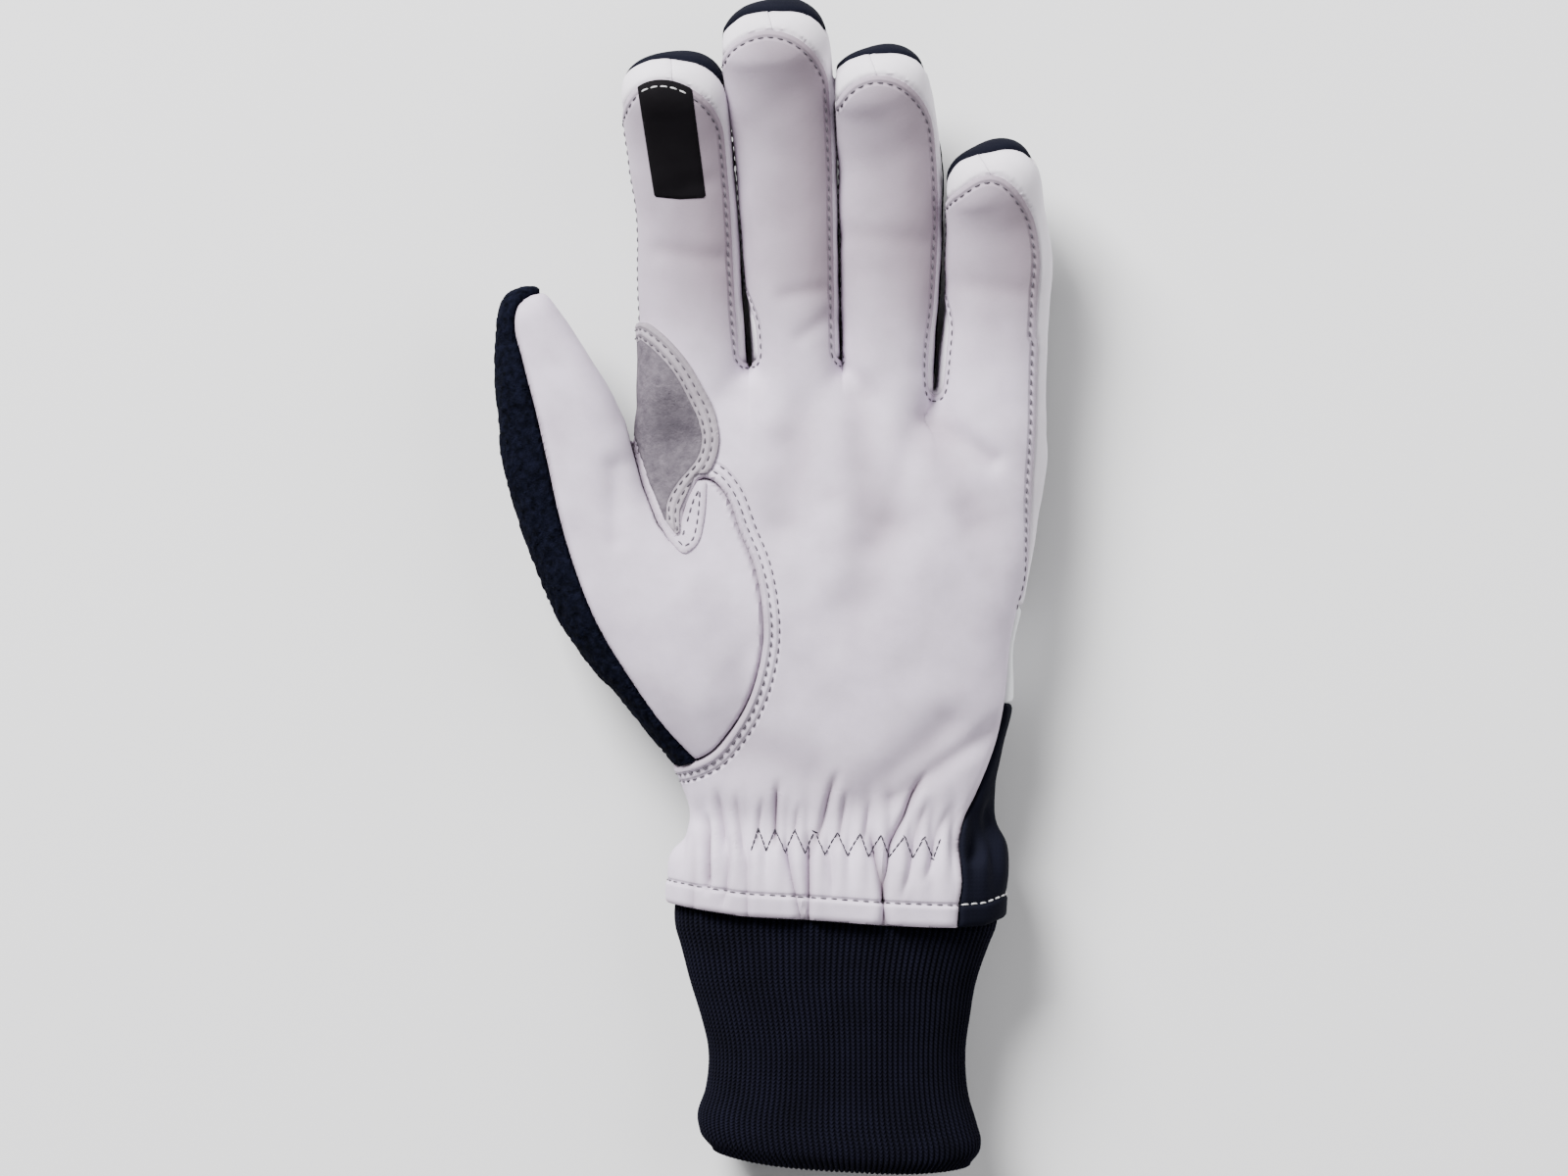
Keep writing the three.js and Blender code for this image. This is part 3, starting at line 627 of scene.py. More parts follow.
# The backs turn up over the fingertips, higher on the side of the little finger
turned_up = both(half_width - 1.2 - np.abs(across - 0.8), 9 - to_tip)
finger_backs = both(either(turned_up, -2.5 - over, 1.5), 0.3 * across - 0.8 - over)
knuckle_outline = [(-60, -92), (-60, 61), (-26, 61), (-12, 50), (20, 50), (42, 42), (57, 44), (57, -92)]
knuckle_backs = both(inside(knuckle_outline), HAND_MIDDLE - points[:, 2])
backs = either(finger_backs, knuckle_backs, 2)
finger_zone = inside([(-60, 61), (-29, 61), (-25, 40), (44, 34), (50, 30), (56, -4), (90, -10), (90, 160),
                      (-60, 160)])
strip_region = both(finger_zone, -palm_region, -backs, -thumb_region)
back_region = both(-palm_region, -thumb_region, -strip_region, over_hem(points))


def cut_out(name, region):
    """A panel cut from the form where its region is over zero: the object, its faces, its points and normals,
    and what carries the form's other numbers to it."""
    value = np.where(np.abs(region) < 0.02, 0.02, region)
    kept = value > 0
    count = kept[triangles].sum(1)

    def turned(corners_kept, odd_one_in):
        """The triangles with so many corners kept, the corner that differs from the other two put first."""
        rows = triangles[count == corners_kept]
        first = np.argmax(kept[rows] == odd_one_in, axis=1)
        return np.stack([rows[np.arange(len(rows)), (first + k) % 3] for k in range(3)], axis=1)

    one, two = turned(1, True), turned(2, False)
    crossings = np.concatenate([one[:, [0, 1]], one[:, [0, 2]], two[:, [0, 1]], two[:, [0, 2]]])
    edges, where = np.unique(np.sort(crossings, axis=1), axis=0, return_inverse=True)
    where = where.reshape(-1) + len(points)
    a, b, c, d = np.split(where, np.cumsum([len(one), len(one), len(two)]))
    faces = np.concatenate([
        triangles[count == 3],
        np.stack([one[:, 0], a, b], axis=1),
        np.stack([c, two[:, 1], two[:, 2]], axis=1),
        np.stack([c, two[:, 2], d], axis=1),
    ])
    # Scraps that touch the panel nowhere are left out
    sheet = np.arange(len(points) + len(edges))
    while True:
        lowest = sheet[faces].min(axis=1)
        joined_to = sheet.copy()
        for corner in range(3):
            np.minimum.at(joined_to, faces[:, corner], lowest)
        joined_to = joined_to[joined_to]
        if np.array_equal(joined_to, sheet):
            break
        sheet = joined_to
    faces = faces[np.bincount(sheet[faces[:, 0]])[sheet[faces[:, 0]]] > SCRAP_FACES]
    used, faces = np.unique(faces, return_inverse=True)
    faces = faces.reshape(-1, 3)
    share = value[edges[:, 0]] / (value[edges[:, 0]] - value[edges[:, 1]])

    def carry(values):
        between = (values[edges[:, 0]].T * (1 - share) + values[edges[:, 1]].T * share).T
        return np.concatenate([values, between])[used]

    panel_points = carry(points)
    return new_object(name, panel_points, faces.tolist()), faces, panel_points, carry(normals), carry


def rim_points(panel_points, faces):
    """Points every quarter of an edge along a panel's rim."""
    sides = np.sort(np.concatenate([faces[:, [0, 1]], faces[:, [1, 2]], faces[:, [2, 0]]]), axis=1)
    sides, count = np.unique(sides, axis=0, return_counts=True)
    start, end = panel_points[sides[count == 1]].transpose(1, 0, 2)
    return np.concatenate([start + (end - start) * share for share in (0, 0.25, 0.5, 0.75)])


def distance_to(targets, places):
    """How far each place is from the nearest of the targets."""
    if not len(targets):
        return np.full(len(places), 99.0)
    tree = kdtree.KDTree(len(targets))
    for i, target in enumerate(targets):
        tree.insert(target, i)
    tree.balance()
    return np.array([tree.find(place)[2] for place in places])


def rolled(distance, reach, depth):
    """How far an edge that is turned under drops at each distance from it: a quarter round."""
    share = 1 - np.clip(distance / reach, 0, 1)
    return depth * (1 - np.sqrt(1 - share**2))


def build_wall(panel, faces, panel_points, outward, thickness):
    """Puts a panel in its place with its wall, inwards, and shades it as a bent sheet with a cut edge."""
    set_points(panel, panel_points + PLAN_SHIFT)
    outer = points_of(panel)
    below = len(outer)
    sides = np.concatenate([faces[:, [0, 1]], faces[:, [1, 2]], faces[:, [2, 0]]])
    once = ~np.isin(sides[:, 0] * below + sides[:, 1], sides[:, 1] * below + sides[:, 0])
    start, end = sides[once].T
    rim_quads = np.stack([end, start, start + below, end + below], axis=1)
    panel.data.clear_geometry()
    panel.data.from_pydata(np.concatenate([outer, outer - thickness * outward]) * MM, [],
                           faces.tolist() + (faces[:, ::-1] + below).tolist() + rim_quads.tolist())
    select_only(panel)
    bpy.ops.object.shade_smooth_by_angle(angle=math.radians(50))


def keep_number(panel, name, values):
    """Keeps a number at each point of a panel, on both sides of its wall, for its finish to read."""
    panel.data.attributes.new(name, "FLOAT", "POINT").data.foreach_set("value", np.tile(values, 2))


def hand_over(piece, finish, node):
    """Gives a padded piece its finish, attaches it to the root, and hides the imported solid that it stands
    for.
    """
    piece.data.materials.append(finish)
    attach(piece, "root")
    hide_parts(node)


def rows_at(panel_points, faces, distance, level):
    """The lines on a panel where a distance has that value, each as a run of points."""
    value = distance - level
    value = np.where(value == 0, 1e-6, value)
    over_it = value > 0
    mixed = faces[(over_it[faces].sum(1) % 3) != 0]
    pairs = np.stack([mixed, np.roll(mixed, -1, axis=1)], axis=2)
    crossing = over_it[pairs[:, :, 0]] != over_it[pairs[:, :, 1]]
    ends = np.sort(pairs[crossing].reshape(-1, 2), axis=1)
    edges, ends = np.unique(ends, axis=0, return_inverse=True)
    share = (value[edges[:, 0]] / (value[edges[:, 0]] - value[edges[:, 1]]))[:, None]
    places = panel_points[edges[:, 0]] * (1 - share) + panel_points[edges[:, 1]] * share
    neighbours = [[] for _ in edges]
    for a, b in ends.reshape(-1, 2):
        neighbours[a].append(b)
        neighbours[b].append(a)
    lines, seen = [], np.zeros(len(edges), bool)
    for start in sorted(range(len(edges)), key=lambda i: len(neighbours[i])):
        if seen[start]:
            continue
        run, at = [], start
        while at is not None:
            seen[at] = True
            run.append(at)
            at = next((n for n in neighbours[at] if not seen[n]), None)
        if len(neighbours[start]) == 2 and start in neighbours[run[-1]] and len(run) > 3:
            run.append(start)
        if len(run) > 4:
            lines.append(places[run])
    return lines


# The palm panel.
# One piece of light synthetic leather for the palm and the fronts of all fingers. Its raw edge laps over the
# finger strips and the thumb, and thread holds it just inside the edge. The wrist end is folded into a hem.

PALM_LIFT, PALM_THICKNESS = 0.45, 1.1
FINGER_ROW = 1.7  # mm from the edge to the stitching of the fingers
HOLE_ROWS = (1.9, 3.8)  # the two rows round the thumb hole
HEM_ROW = 5.6


def hem_lift(from_hem, start, end):
    """A hem is double up to its row of stitching, give or take two margins, and the stitching dents it."""
    dent = 0.22 * np.exp(-((from_hem - HEM_ROW) / 0.55) ** 2)
    return 0.5 * (1 - smoothstep(HEM_ROW + start, HEM_ROW + end, from_hem)) - 1.2 * dent


palm, palm_faces, palm_points, palm_normals, carry = cut_out("palm_leather", palm_region - SEAM_HALF)
palm_rim = rim_points(palm_points, palm_faces)
at_hem = over_hem(palm_rim) < 0.6
at_hole = (distance_to(palm_points[carry(-thumb_region) < 0.6], palm_rim) < 1.0) & ~at_hem
at_side = ~at_hem & ~at_hole & (palm_rim[:, 1] < -4)
from_hem = over_hem(palm_points)
from_hole = distance_to(palm_rim[at_hole], palm_points)
from_side = distance_to(palm_rim[at_side], palm_points)
from_finger = distance_to(palm_rim[~at_hem & ~at_hole & ~at_side], palm_points)
lift = PALM_LIFT * smoothstep(0.3, 3, from_side) + 0.35 * np.exp(-((from_hole - 0.9) / 0.8) ** 4)
lift += hem_lift(from_hem, -0.9, 0.5)
lift -= (rolled(from_hem, 1.3, 1.0) + rolled(from_side, 1.4, 1.2) + rolled(from_hole, 0.9, 0.4)
         + rolled(from_finger, 0.7, 0.15))
palm_points = palm_points + lift[:, None] * palm_normals
build_wall(palm, palm_faces, palm_points, palm_normals, PALM_THICKNESS)


def skin(finish, base, tone, patch_mm, grain_mm, grain_depth, strength=1.0, edge=None):
    """Gives a finish its cloudy colour and its fine grain, at real sizes in millimetres. With an edge colour
    it also darkens near the seams, as wear and painted shade, and in folds and creases as painted shade.
    """
    place = add_node(finish, "TexCoord").outputs["Object"]
    clouds = add_node(finish, "TexNoise", {"Vector": place}, scale=1000 / patch_mm, detail=4, roughness=0.6)
    shade = add_node(finish, "ValToRGB", {"Fac": clouds.outputs["Fac"]})
    for stop, position, code in zip(shade.color_ramp.elements, (0.32, 0.68), (tone, base)):
        stop.position, stop.color = position, linear(code)
    colour = shade.outputs["Color"]
    # Near its seams the colour goes towards the edge colour, partly wear and partly painted shade where edges
    # turn under, and in folds and creases it is painted shade.
    if edge:
        near = add_node(finish, "Attribute", attribute_name="seam").outputs["Fac"]
        seam_wear_and_shade = map_range(finish, near, (0.0, 1.6), (0.55, 0.0))
        folded = add_node(finish, "Attribute", attribute_name="painted_shade").outputs["Fac"]
        colour = mix_with(finish, add_math(finish, "MAXIMUM", seam_wear_and_shade, folded), colour, edge)
    finish.node_tree.links.new(colour, shader_of(finish).inputs["Base Color"])
    grain = add_node(finish, "TexNoise", {"Vector": place}, scale=1000 / grain_mm, detail=5, roughness=0.65)
    add_bump(finish, grain.outputs["Fac"], strength, grain_depth)
    return finish


def sewn_down(finish, rows, depth):
    """Dents a finish along its stitching. A row has the name of the number it follows, and its value."""
    height = None
    for name, row in rows:
        edge = add_node(finish, "Attribute", attribute_name=name).outputs["Fac"]
        off_row = add_math(finish, "ABSOLUTE", add_math(finish, "SUBTRACT", edge, row))
        dent = map_range(finish, off_row, (0.0, 0.85), (0.0, 1.0), interpolation_type="SMOOTHSTEP")
        height = dent if height is None else add_math(finish, "MULTIPLY", height, dent)
    add_bump(finish, height, 1.0, depth)


# Matt synthetic leather: a grain of about half a millimetre, and clouds of tone a centimetre or two across.
# Its edge colour is wear and painted shade at the seams, and painted shade in the folds.
leather = skin(new_finish("synthetic_leather", "D8CEDC", 0.7, gloss=0.2, sheen=0.04), "DDD1E4", "CBBFD0", 14,
               0.5, 0.05, 0.8, edge="887983")
HOLE_DENTS = [("from_hole", row) for row in HOLE_ROWS]
sewn_down(leather, [("from_finger", FINGER_ROW), ("from_hem", HEM_ROW)] + HOLE_DENTS, 0.3)
for name, values in [("from_finger", from_finger), ("from_hem", from_hem), ("from_hole", from_hole),
                     ("seam", both(from_hem, from_hole, from_side, from_finger)),
                     ("painted_shade", np.clip(carry(painted_shade), 0, 0.85))]:
    keep_number(palm, name, values)
hand_over(palm, leather, "palm_panel")

# Its stitching.
# Grey lock stitches, each a short arc of thread that dives into its holes. The elastic behind the wrist is
# sewn on in a zigzag, and the leather puffs up between its teeth.

STITCH_RINGS = [(-0.5, 0.3), (-0.36, 0.85), (-0.14, 1.0), (0.14, 1.0), (0.36, 0.85), (0.5, 0.3)]
THREAD_SIDES = 5


def surface_of(panel_points, faces):
    return BVHTree.FromPolygons([tuple(p) for p in panel_points], faces.tolist())


def evenly(line, pitch):
    """Points every pitch along a line, with the line's direction at each."""
    run = run_of(line)
    if run[-1] < 1.5 * pitch:
        return np.empty((0, 3)), np.empty((0, 3))
    at = np.arange(pitch / 2, run[-1] - pitch / 4, pitch)
    direction = points_at(line, run, at + 0.6) - points_at(line, run, at - 0.6)
    return points_at(line, run, at), direction / np.linalg.norm(direction, axis=1)[:, None]


def sew(name, surface, lines, finish, pitch=2.4, length=1.7, radius=0.19, only=None):
    """All the stitches of some rows, as one piece: short arcs of thread laid on a surface."""
    corners, faces = [], []
    turn = 2 * np.pi * np.arange(THREAD_SIDES) / THREAD_SIDES
    for line in lines:
        for place, direction in zip(*evenly(line, pitch)):
            if only is not None and not only(place):
                continue
            _, up, _, _ = surface.find_nearest(place)
            side = np.cross(direction, np.array(up))
            side /= np.linalg.norm(side)
            up = np.cross(side, direction)
            base = sum(map(len, corners))
            for share, swell in STITCH_RINGS:
                middle = place + direction * share * length + up * radius * (0.9 - 6.5 * share**2)
                round_it = np.outer(np.cos(turn), side) + np.outer(np.sin(turn), up)
                corners.append(middle + swell * radius * round_it)
            ends = range(base, base + len(STITCH_RINGS) * THREAD_SIDES, THREAD_SIDES)
            rings = [range(end, end + THREAD_SIDES) for end in ends]
            for ring, after in zip(rings[:-1], rings[1:]):
                for s in range(THREAD_SIDES):
                    t = (s + 1) % THREAD_SIDES
                    faces.append((ring[s], ring[t], after[t], after[s]))
            faces += [tuple(reversed(rings[0])), tuple(rings[-1])]
    rows = new_object(name, np.concatenate(corners) + PLAN_SHIFT, faces)
    mend()
    bpy.ops.object.shade_smooth()
    rows.data.materials.append(finish)
    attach(rows, "root")


def close_together(line, gap=0.25):
    """The same line of the plan with points every quarter of a millimetre."""
    line = np.array(line, float)
    run = run_of(line)
    return points_at(line, run, np.arange(0, run[-1], gap))


def dropped(surface, plan):
    """A line of the plan, laid on a surface from above."""
    down = [surface.ray_cast(Vector((x, y, 80)), Vector((0, 0, -1)))[0] for x, y in plan]
    return np.array([tuple(place) for place in down if place is not None])


def thread_finish(name, colour):
    """A spun thread, with a fine diagonal lay."""
    finish = new_finish(name, colour, 0.55, sheen=0.05)
    place = add_node(finish, "TexCoord").outputs["Object"]
    lay = add_node(finish, "TexWave", {"Vector": place}, scale=1600, distortion=2.0,
                   bands_direction="DIAGONAL")
    add_bump(finish, lay.outputs["Fac"], 0.5, 0.05)
    return finish


def clear_of(*outlines):
    """Tells whether a stitch is clear of the patches that cover its row."""
    return lambda place: all(inside(outline, np.array([place]))[0] < 0 for outline in outlines)


grey_thread = thread_finish("grey_thread", "57515A")
dark_thread = thread_finish("dark_grey_thread", "302C35")
white_thread = thread_finish("white_thread", "DDDCDD")
palm_surface = surface_of(palm_points, palm_faces)
# The touch-screen patch on the index fingertip, which its own white stitches cross
touch_outline = [(-33.9, 130), (-33.2, 122), (-29.1, 95.1), (-23, 94.4), (-16.9, 94.8), (-20.2, 121),
                 (-20.8, 130)]
zigzag_x = [-5.8, -4.1, -2.2, 0, 2.4, 4.8, 7.2, 9.6, 12, 15.1, 17.5, 20.6, 22.6, 25.7, 27.6, 31.4, 33.4, 36.2,
            38.4, 40.3]
zigzag = [(x, -58.4 - 0.06 * x if i % 2 else -64.1 - 0.05 * x) for i, x in enumerate(zigzag_x)]
finger_rows = rows_at(palm_points, palm_faces, from_finger, FINGER_ROW)
sew("finger_stitching", palm_surface, finger_rows, grey_thread, only=clear_of(touch_outline, saddle_outline))
sew("thumb_hole_stitching", palm_surface,
    [line for row in HOLE_ROWS for line in rows_at(palm_points, palm_faces, from_hole, row)], grey_thread,
    only=clear_of(saddle_outline))
hem_row = rows_at(palm_points, palm_faces, from_hem, HEM_ROW)
sew("hem_stitching", palm_surface, hem_row, grey_thread, pitch=2.6)
sew("elastic_zigzag", palm_surface, [dropped(palm_surface, close_together(zigzag))], dark_thread, pitch=1.6,
    length=1.75)

# The finger strips.
# Five long strips of a lighter synthetic leather. Each runs up one finger's side, or down one finger, round
# the crotch and up the next. They tuck under the palm's edge and meet in a short seam at each fingertip.

TUCK = 1.8  # mm that a strip runs on under the palm's edge
strip_leather = skin(new_finish("light_synthetic_leather", "E4DDE6", 0.68, gloss=0.2, sheen=0.04), "E8E2EB",
                     "DFD8E1", 14, 0.45, 0.04, 0.5, edge="A89FA7")
strip_cut = both(finger_zone, TUCK - palm_region, -backs, -thumb_region) - SEAM_HALF
STRIPS = ["index_outer", "index_middle", "middle_ring", "ring_little", "little_outer"]
for number, place in enumerate(STRIPS):
    own_side = np.where(finger_of == number - 1, across, np.where(finger_of == number, -across, -5))
    region = both(strip_cut, own_side - 0.04)
    strip, faces, strip_points, strip_normals, carry = cut_out("side_strip_" + place, region)
    under, from_tip_seam = carry(palm_region), carry(own_side)
    rim = rim_points(strip_points, faces)
    covered = distance_to(strip_points[under > TUCK - 0.5], rim) < 1.0
    joined = distance_to(strip_points[from_tip_seam < 0.2], rim) < 0.4
    from_seam = distance_to(rim[~covered & ~joined], strip_points)
    lift = -1.15 * smoothstep(-0.9, 0.2, under) - rolled(from_seam, 1.3, 0.9)
    lift -= rolled(from_tip_seam, 0.8, 0.35)
    build_wall(strip, faces, strip_points + lift[:, None] * strip_normals, strip_normals, 1.0)
    # Darker towards its seams, as wear and painted shade, and most where it runs under the palm's edge, which
    # is painted shade.
    keep_number(strip, "seam", both(from_seam, 1.5 - under))
    hand_over(strip, strip_leather, "strip_" + place)

# The back.
# One panel of matt navy softshell for the back of the hand and of every finger, seen from the front as a band
# over each fingertip and beside the wrist. A white panel is let into its outer side, and a white row holds
# its hem.

softshell = skin(new_finish("navy_softshell", "11121C", 0.75, gloss=0.03), "12131E", "0F1019", 25, 0.9, 0.04,
                 0.5)
# A fine square weave, its threads half a millimetre apart
place = add_node(softshell, "TexCoord").outputs["Object"]
warp, weft = (add_node(softshell, "TexWave", {"Vector": place}, scale=1000 / math.pi, distortion=0.6,
                       bands_direction=direction).outputs["Fac"] for direction in "XY")
add_bump(softshell, add_math(softshell, "MULTIPLY", warp, weft), 0.5, 0.05)
insert_shell = skin(new_finish("white_softshell", "F0F1F4", 0.6), "F3F4F7", "EBEDF0", 20, 0.6, 0.03, 0.4)
insert_region = inside([(90, -3.2), (57, -3.2), (53, -14), (49, -28.2), (90, -28.2)])
for name, region, node, finish, slot in [
    ("back_softshell", both(back_region, -insert_region), "back_panel", softshell, "softshell"),
    ("white_side_insert", both(back_region, insert_region), "side_insert", insert_shell, "insert"),
]:
    panel, faces, panel_points, panel_normals, _ = cut_out(name, region - SEAM_HALF)
    rim = rim_points(panel_points, faces)
    from_hem, from_seam = over_hem(panel_points), distance_to(rim[over_hem(rim) > 0.6], panel_points)
    lift = hem_lift(from_hem, -1, 0.4)
    lift -= rolled(from_hem, 1.3, 1.0) + rolled(from_seam, 1.4, 1.0)
    panel_points = panel_points + lift[:, None] * panel_normals
    panel_points[:, 2] = np.maximum(panel_points[:, 2], 0.02)
    build_wall(panel, faces, panel_points, panel_normals, 1.2)
    hand_over(panel, finish, node)
    if node == "back_panel":
        hem_row = rows_at(panel_points, faces, from_hem, HEM_ROW)
        sew("back_hem_stitching", surface_of(panel_points, faces), hem_row, white_thread,
            pitch=2.5, length=1.9, radius=0.23)

# The thumb.
# A front of the palm's leather, let into the palm's thumb hole, and a back of looped terry for wiping the
# face. The two meet in a plain seam that runs from the wrist round the tip.

TERRY_LOOP = 1.3  # mm across a tuft of the pile
front_side = inside([*thumb_seam, (-56, 72.5), (-40, 95), (30, 95), (30, -42.6)])
# The leather wraps the side next to the index finger
front_height = over_thumb + 5 * smoothstep(-1, 5, across_thumb)
front, faces, front_points, front_normals, carry = cut_out(
    "thumb_leather", both(thumb_region + 2.0, front_side - SEAM_HALF, front_height - SEAM_HALF))
from_edge = carry(thumb_region)
rim = rim_points(front_points, faces)
covered = distance_to(front_points[from_edge < -1.5], rim) < 1.0
from_seam = distance_to(rim[~covered], front_points)
lift = -1.9 * smoothstep(0.9, -0.4, from_edge) * smoothstep(12, 16, front_points[:, 2])
lift -= rolled(from_seam, 1.3, 0.9)
build_wall(front, faces, front_points + lift[:, None] * front_normals, front_normals, 1.0)
# Darker towards its seam, as wear and painted shade, and under the palm's edge, which is painted shade.
keep_number(front, "seam", both(from_seam, from_edge + 0.2))
hand_over(front, leather, "thumb_front")

terry_back, faces, terry_points, terry_normals, carry = cut_out(
    "thumb_terry", both(thumb_region + 1.5, -both(front_side, front_height)) - SEAM_HALF)
from_edge = carry(thumb_region)
rim = rim_points(terry_points, faces)
covered = distance_to(terry_points[from_edge < -1.1], rim) < 0.8
from_seam = distance_to(rim[~covered], terry_points)
pile = np.array([noise.cell_vector(Vector(p) / TERRY_LOOP)[0] for p in terry_points])
lift = 0.2 + 0.5 * pile * smoothstep(0.2, 1.5, terry_points[:, 2]) - rolled(from_seam, 1.3, 1.0)
lift -= 1.3 * smoothstep(0.7, -0.5, from_edge)
terry_points = terry_points + lift[:, None] * terry_normals
terry_points[:, 2] = np.maximum(terry_points[:, 2], 0.02)
build_wall(terry_back, faces, terry_points, terry_normals, 1.0)
terry = skin(new_finish("navy_terry", "0D0F1A", 1.0, gloss=0.02), "131523", "06070C", 1.6, 0.5, 0.4)
hand_over(terry_back, terry, "thumb_back")

# The patches.
# A suede saddle guards the palm between thumb and index finger. A leather border with two rows of stitching
# holds it, its lower end runs into the crotch over a leather tab, and a small conductive patch sits on the
# index fingertip.

PATCH_ROWS = (1.6, 3.4)
BORDER_LAP = 1.2  # mm that the border's leather runs on past its inner row
DIMPLE_CENTRE, DIMPLE_REACH = np.array([-25.4, 39.6]), 6
tab_edge = smooth_line([(-28.9, 17.6), (-27.2, 14.2), (-24.9, 10.6), (-22.2, 8.3), (-19, 10.6), (-17.4, 15.6),
                        (-16.8, 21), (-16.6, 25.8)])
tab_outline = tab_edge + [(-18.6, 26.2), (-21, 22), (-23.2, 14.6), (-26.0, 15.2)]
suede = skin(new_finish("grey_suede", "6A646C", 1.0, gloss=0.05), "766F77", "5A545C", 2.2, 0.8, 0.3,
             edge="37333A")
border_leather = skin(new_finish("border_leather", "9F969F", 0.7, gloss=0.2), "A69DA6", "978E97", 10, 0.5,
                      0.05, 0.6, edge="665E66")
sewn_down(border_leather, HOLE_DENTS, 0.3)
touch_cloth = skin(new_finish("conductive_cloth", "100E11", 0.75, gloss=0.06), "121013", "0D0B0E", 12, 0.3,
                   0.03, 0.5)
top_only = points[:, 2] - HAND_MIDDLE
saddle_region = both(inside(saddle_outline), top_only, -0.9 - thumb_region)
saddle_depth = beside(saddle_edge, points)
suede_region = both(saddle_region, saddle_depth - PATCH_ROWS[1] - 0.15)
border_region = both(saddle_region, PATCH_ROWS[1] + BORDER_LAP - saddle_depth)
tab_region = both(inside(tab_outline), top_only, thumb_region + 1.2)
touch_region = both(inside(touch_outline), palm_region - 0.1, over)
patches = {}
for name, region, node, finish, slot, raised, thickness in [
    ("saddle_suede", suede_region, "saddle_patch", suede, "suede", 0.95, 0.6),
    ("saddle_border", border_region, "saddle_patch", border_leather, "leather", 1.25, 0.8),
    ("crotch_tab_leather", tab_region, "crotch_tab", leather, "leather", 0.6, 0.6),
    ("touch_screen_patch", touch_region, "touch_patch", touch_cloth, "touch", 0.75, 0.5),
]:
    panel, faces, panel_points, panel_normals, carry = cut_out(name, region)
    depth, from_rim = carry(saddle_depth), distance_to(rim_points(panel_points, faces), panel_points)
    lift = raised - rolled(from_rim, 0.6, 0.2)
    if name == "saddle_border":
        lift += (0.25 * np.exp(-((depth - 0.6) / 0.5) ** 2)
                 - 0.5 * smoothstep(PATCH_ROWS[1], PATCH_ROWS[1] + BORDER_LAP, depth))
    panel_points = panel_points + lift[:, None] * panel_normals
    patches[name] = (panel_points, faces, depth, from_rim)
    build_wall(panel, faces, panel_points, panel_normals, thickness)
    # Darker towards its rim: wear and painted shade.
    keep_number(panel, "seam", from_rim + 0.4)
    # The suede's dimple is painted darker as well as dented: painted shade.
    if name == "saddle_suede":
        from_dimple = ((panel_points[:, :2] - DIMPLE_CENTRE) ** 2).sum(1)
        keep_number(panel, "painted_shade", 0.7 * np.exp(-from_dimple / DIMPLE_REACH**2))
    if name == "saddle_border":
        keep_number(panel, "from_hole", depth + HOLE_ROWS[0] - PATCH_ROWS[0])
    hand_over(panel, finish, node)

border_points, border_faces, border_depth, _ = patches["saddle_border"]
tab_points, tab_faces, _, tab_rim = patches["crotch_tab_leather"]
touch_surface = surface_of(*patches["touch_screen_patch"][:2])
under_touch = [line[inside(touch_outline, line) > 0.3] for line in finger_rows]
tip_rows = [np.array([tuple(touch_surface.find_nearest(place)[0]) for place in line]) for line in under_touch
            if len(line)]
border_rows = [line for row in PATCH_ROWS for line in rows_at(border_points, border_faces, border_depth, row)]
sew("saddle_stitching", surface_of(border_points, border_faces), border_rows, grey_thread)
sew("tab_stitching", surface_of(tab_points, tab_faces), rows_at(tab_points, tab_faces, tab_rim, 1.5),
    grey_thread, pitch=2.2, only=clear_of(saddle_outline))
sew("touch_patch_stitching", touch_surface, tip_rows, white_thread, length=1.9, radius=0.22)

# The cuff.
# A tube of fine one-by-one rib knit, folded double at the wrist's end and sewn inside the hem. Each rib is a
# column of small V stitches.

RIBS_ROUND, POINTS_PER_RIB, RIB_HEIGHT, KNIT_WALL = 120, 6, 0.5, 2.2
CUFF_SQUARENESS = 2.4
# The cuff's sections, from the hem down: centre x, y, z, half width, half thickness, and the lean of the edge
cuff_sections = [
    (14.9, -71, 16.2, 38.0, 14.0, 0), (14.9, -79.5, 16.0, 39.6, 14.7, 0), (14.8, -83, 15.8, 39.2, 14.9, 0),
    (14.6, -86.8, 15.4, 37.9, 15.0, 0), (14.2, -96, 14.9, 35.1, 15.2, 0), (14.8, -105.5, 14.8, 32.8, 15.1, 0),
    (15.1, -112, 14.8, 31.6, 15.1, 0), (15.1, -123, 14.8, 32.1, 15.3, 0.02),
    (15.2, -132, 14.9, 34.2, 15.9, 0.04), (15.8, -136.4, 15.0, 34.6, 16.2, 0.06),
    (16.0, -139.2, 15.0, 33.8, 15.8, 0.06), (16.2, -141.0, 15.0, 31.8, 14.4, 0.06),
]
outer_rows, _ = along(cuff_sections, 74)
stations = [(row, 0.0, 1.0) for row in outer_rows]
for share in (0.25, 0.5, 0.75, 1.0):  # the fold at the lower edge
    turn = math.pi * share
    lowered = outer_rows[-1] + [0, -1.0 * math.sin(turn), 0, 0, 0, 0]
    stations.append((lowered, -KNIT_WALL * (1 - math.cos(turn)) / 2, 1.0))
stations += [(row, -KNIT_WALL, 0.6) for row in outer_rows[::-3]]
around = RIBS_ROUND * POINTS_PER_RIB
turn = np.linspace(0, 2 * np.pi, 4001)
wide = np.sign(np.cos(turn)) * np.abs(np.cos(turn)) ** (2 / CUFF_SQUARENESS)
high = np.sign(np.sin(turn)) * np.abs(np.sin(turn)) ** (2 / CUFF_SQUARENESS)
wave = np.abs(np.cos(np.pi * np.arange(around) / POINTS_PER_RIB)) ** 0.8
rings = []
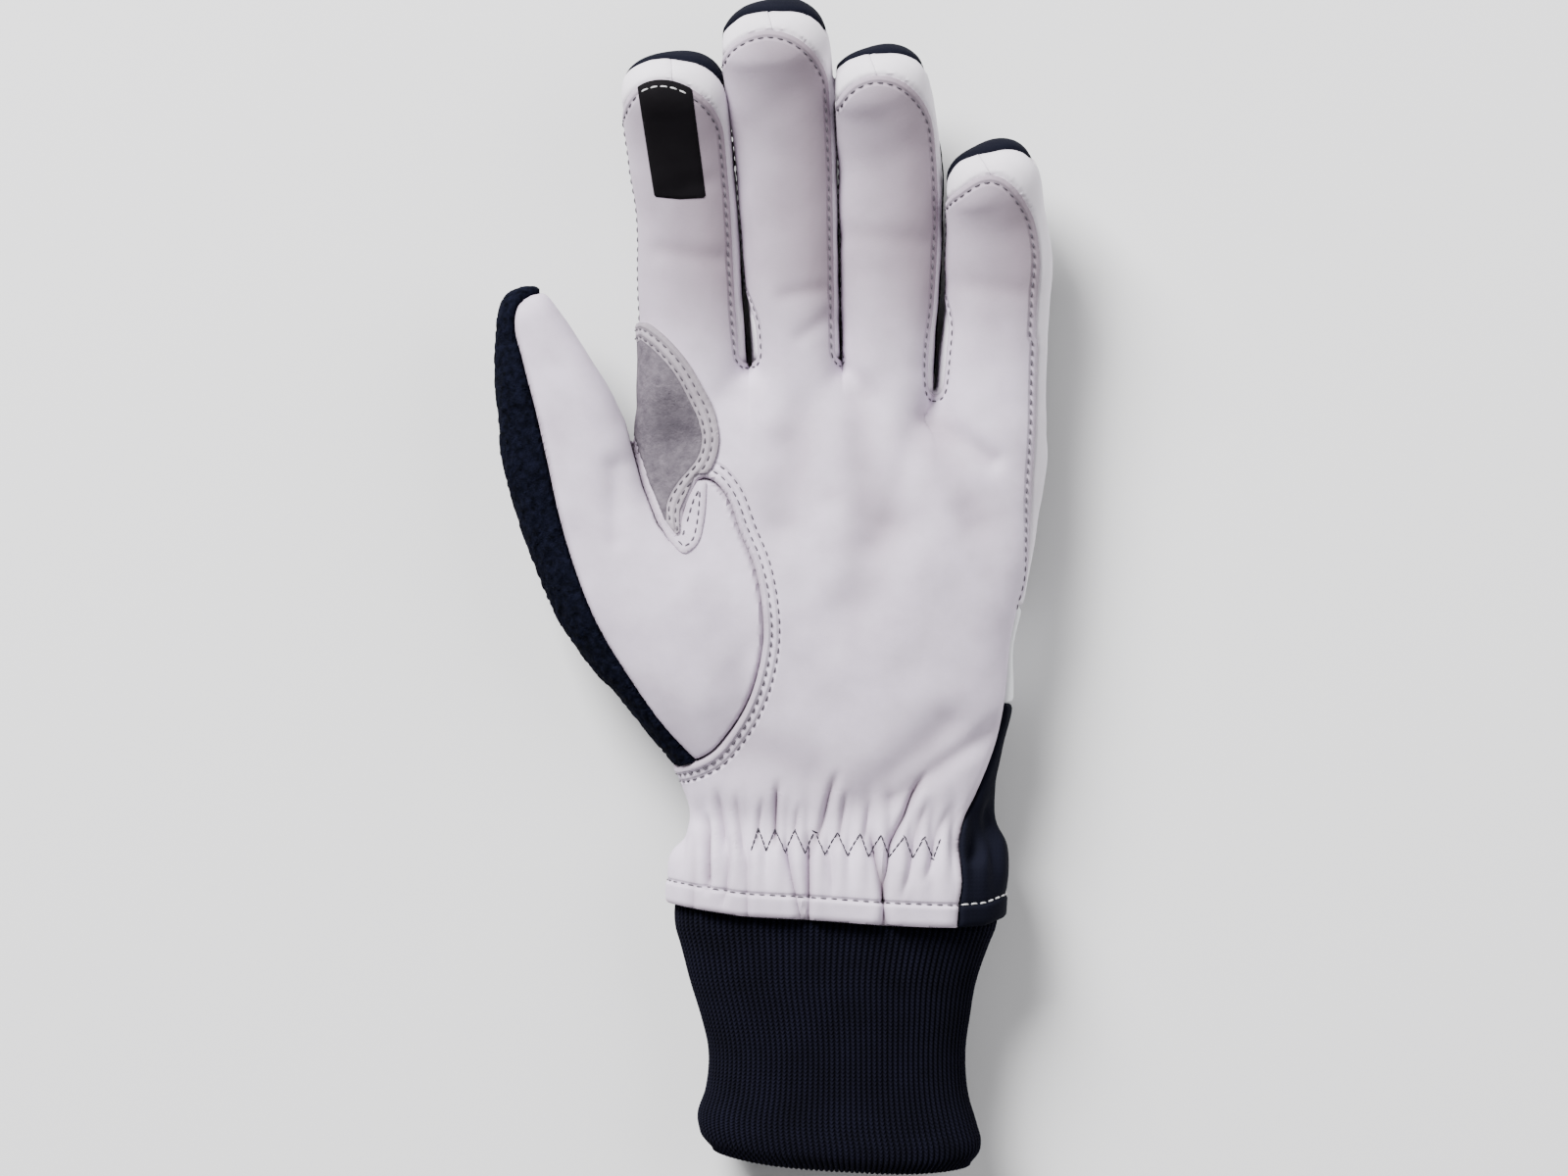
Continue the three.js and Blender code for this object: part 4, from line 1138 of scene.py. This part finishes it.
for (x, y, z, width, thick, lean), grow, ribbing in stations:
    ring = np.stack([(width + grow) * wide, (thick + grow) * high], axis=1)
    run = run_of(ring)
    ring = points_at(ring, run, np.linspace(0, run[-1], around, endpoint=False))
    outward = np.roll(ring, -1, axis=0) - np.roll(ring, 1, axis=0)
    outward = np.stack([outward[:, 1], -outward[:, 0]], axis=1) / np.linalg.norm(outward, axis=1)[:, None]
    ring = ring + outward * (RIB_HEIGHT * ribbing * (wave - 1))[:, None]
    # The lower edge is higher at its corners and between its ribs
    corner = 3.0 * smoothstep(-118, -139, y) * np.abs(ring[:, 0] / 34) ** 3
    corner += 0.5 * smoothstep(-135, -140, y) * (1 - wave)
    rings.append(np.stack([x + ring[:, 0], y - lean * ring[:, 0] + corner, z + ring[:, 1]], axis=1))
bpy.ops.mesh.primitive_grid_add(x_subdivisions=around, y_subdivisions=len(rings) - 1)
cuff = bpy.context.object
cuff.name = "rib_knit_cuff"
rings = np.array(rings)
seam_closed = np.concatenate([rings, rings[:, :1]], axis=1)
cuff_points = seam_closed.reshape(-1, 3) + PLAN_SHIFT
cuff_points[:, 2] = np.where(cuff_points[:, 2] < 0.6, 0.6 * np.exp((cuff_points[:, 2] - 0.6) / 0.6),
                             cuff_points[:, 2])
set_points(cuff, cuff_points)
# Its own map counts ribs round the cuff and millimetres down it
down = run_of(seam_closed[:, around // 4])
rib_map = np.stack(np.meshgrid(np.arange(around + 1) / POINTS_PER_RIB, down), axis=2).reshape(-1, 2)
corner_of = np.empty(len(cuff.data.loops), np.int32)
cuff.data.loops.foreach_get("vertex_index", corner_of)
cuff.data.uv_layers[0].name = "ribs"
cuff.data.uv_layers[0].data.foreach_set("uv", rib_map[corner_of].reshape(-1))
mend(weld=True)
bpy.ops.object.shade_smooth()

COURSE = 0.95  # mm between the stitches down a rib
knit = skin(new_finish("rib_knit", "0C0C19", 1.0, gloss=0.06), "131320", "0E0E18", 9, 0.3, 0.08, 0.5)
ribs = add_node(knit, "UVMap", uv_map="ribs")
split = add_node(knit, "SeparateXYZ", {"Vector": ribs.outputs["UV"]})
over_rib = add_math(knit, "PINGPONG", split.outputs["X"], 0.5)
# Little light gets down between the ribs
sunk = map_range(knit, over_rib, (0.12, 0.48), (0.0, 0.85))
knit_colour = shader_of(knit).inputs["Base Color"]
ribbed = mix_with(knit, sunk, knit_colour.links[0].from_socket, "030306")
knit.node_tree.links.new(ribbed, knit_colour)
course = add_math(knit, "ADD", split.outputs["Y"], add_math(knit, "MULTIPLY", over_rib, 1.4))
add_bump(knit, add_math(knit, "SINE", add_math(knit, "MULTIPLY", course, 2 * math.pi / COURSE)), 0.7, 0.12)
hand_over(cuff, knit, "rib_cuff")

bpy.data.objects.remove(form)
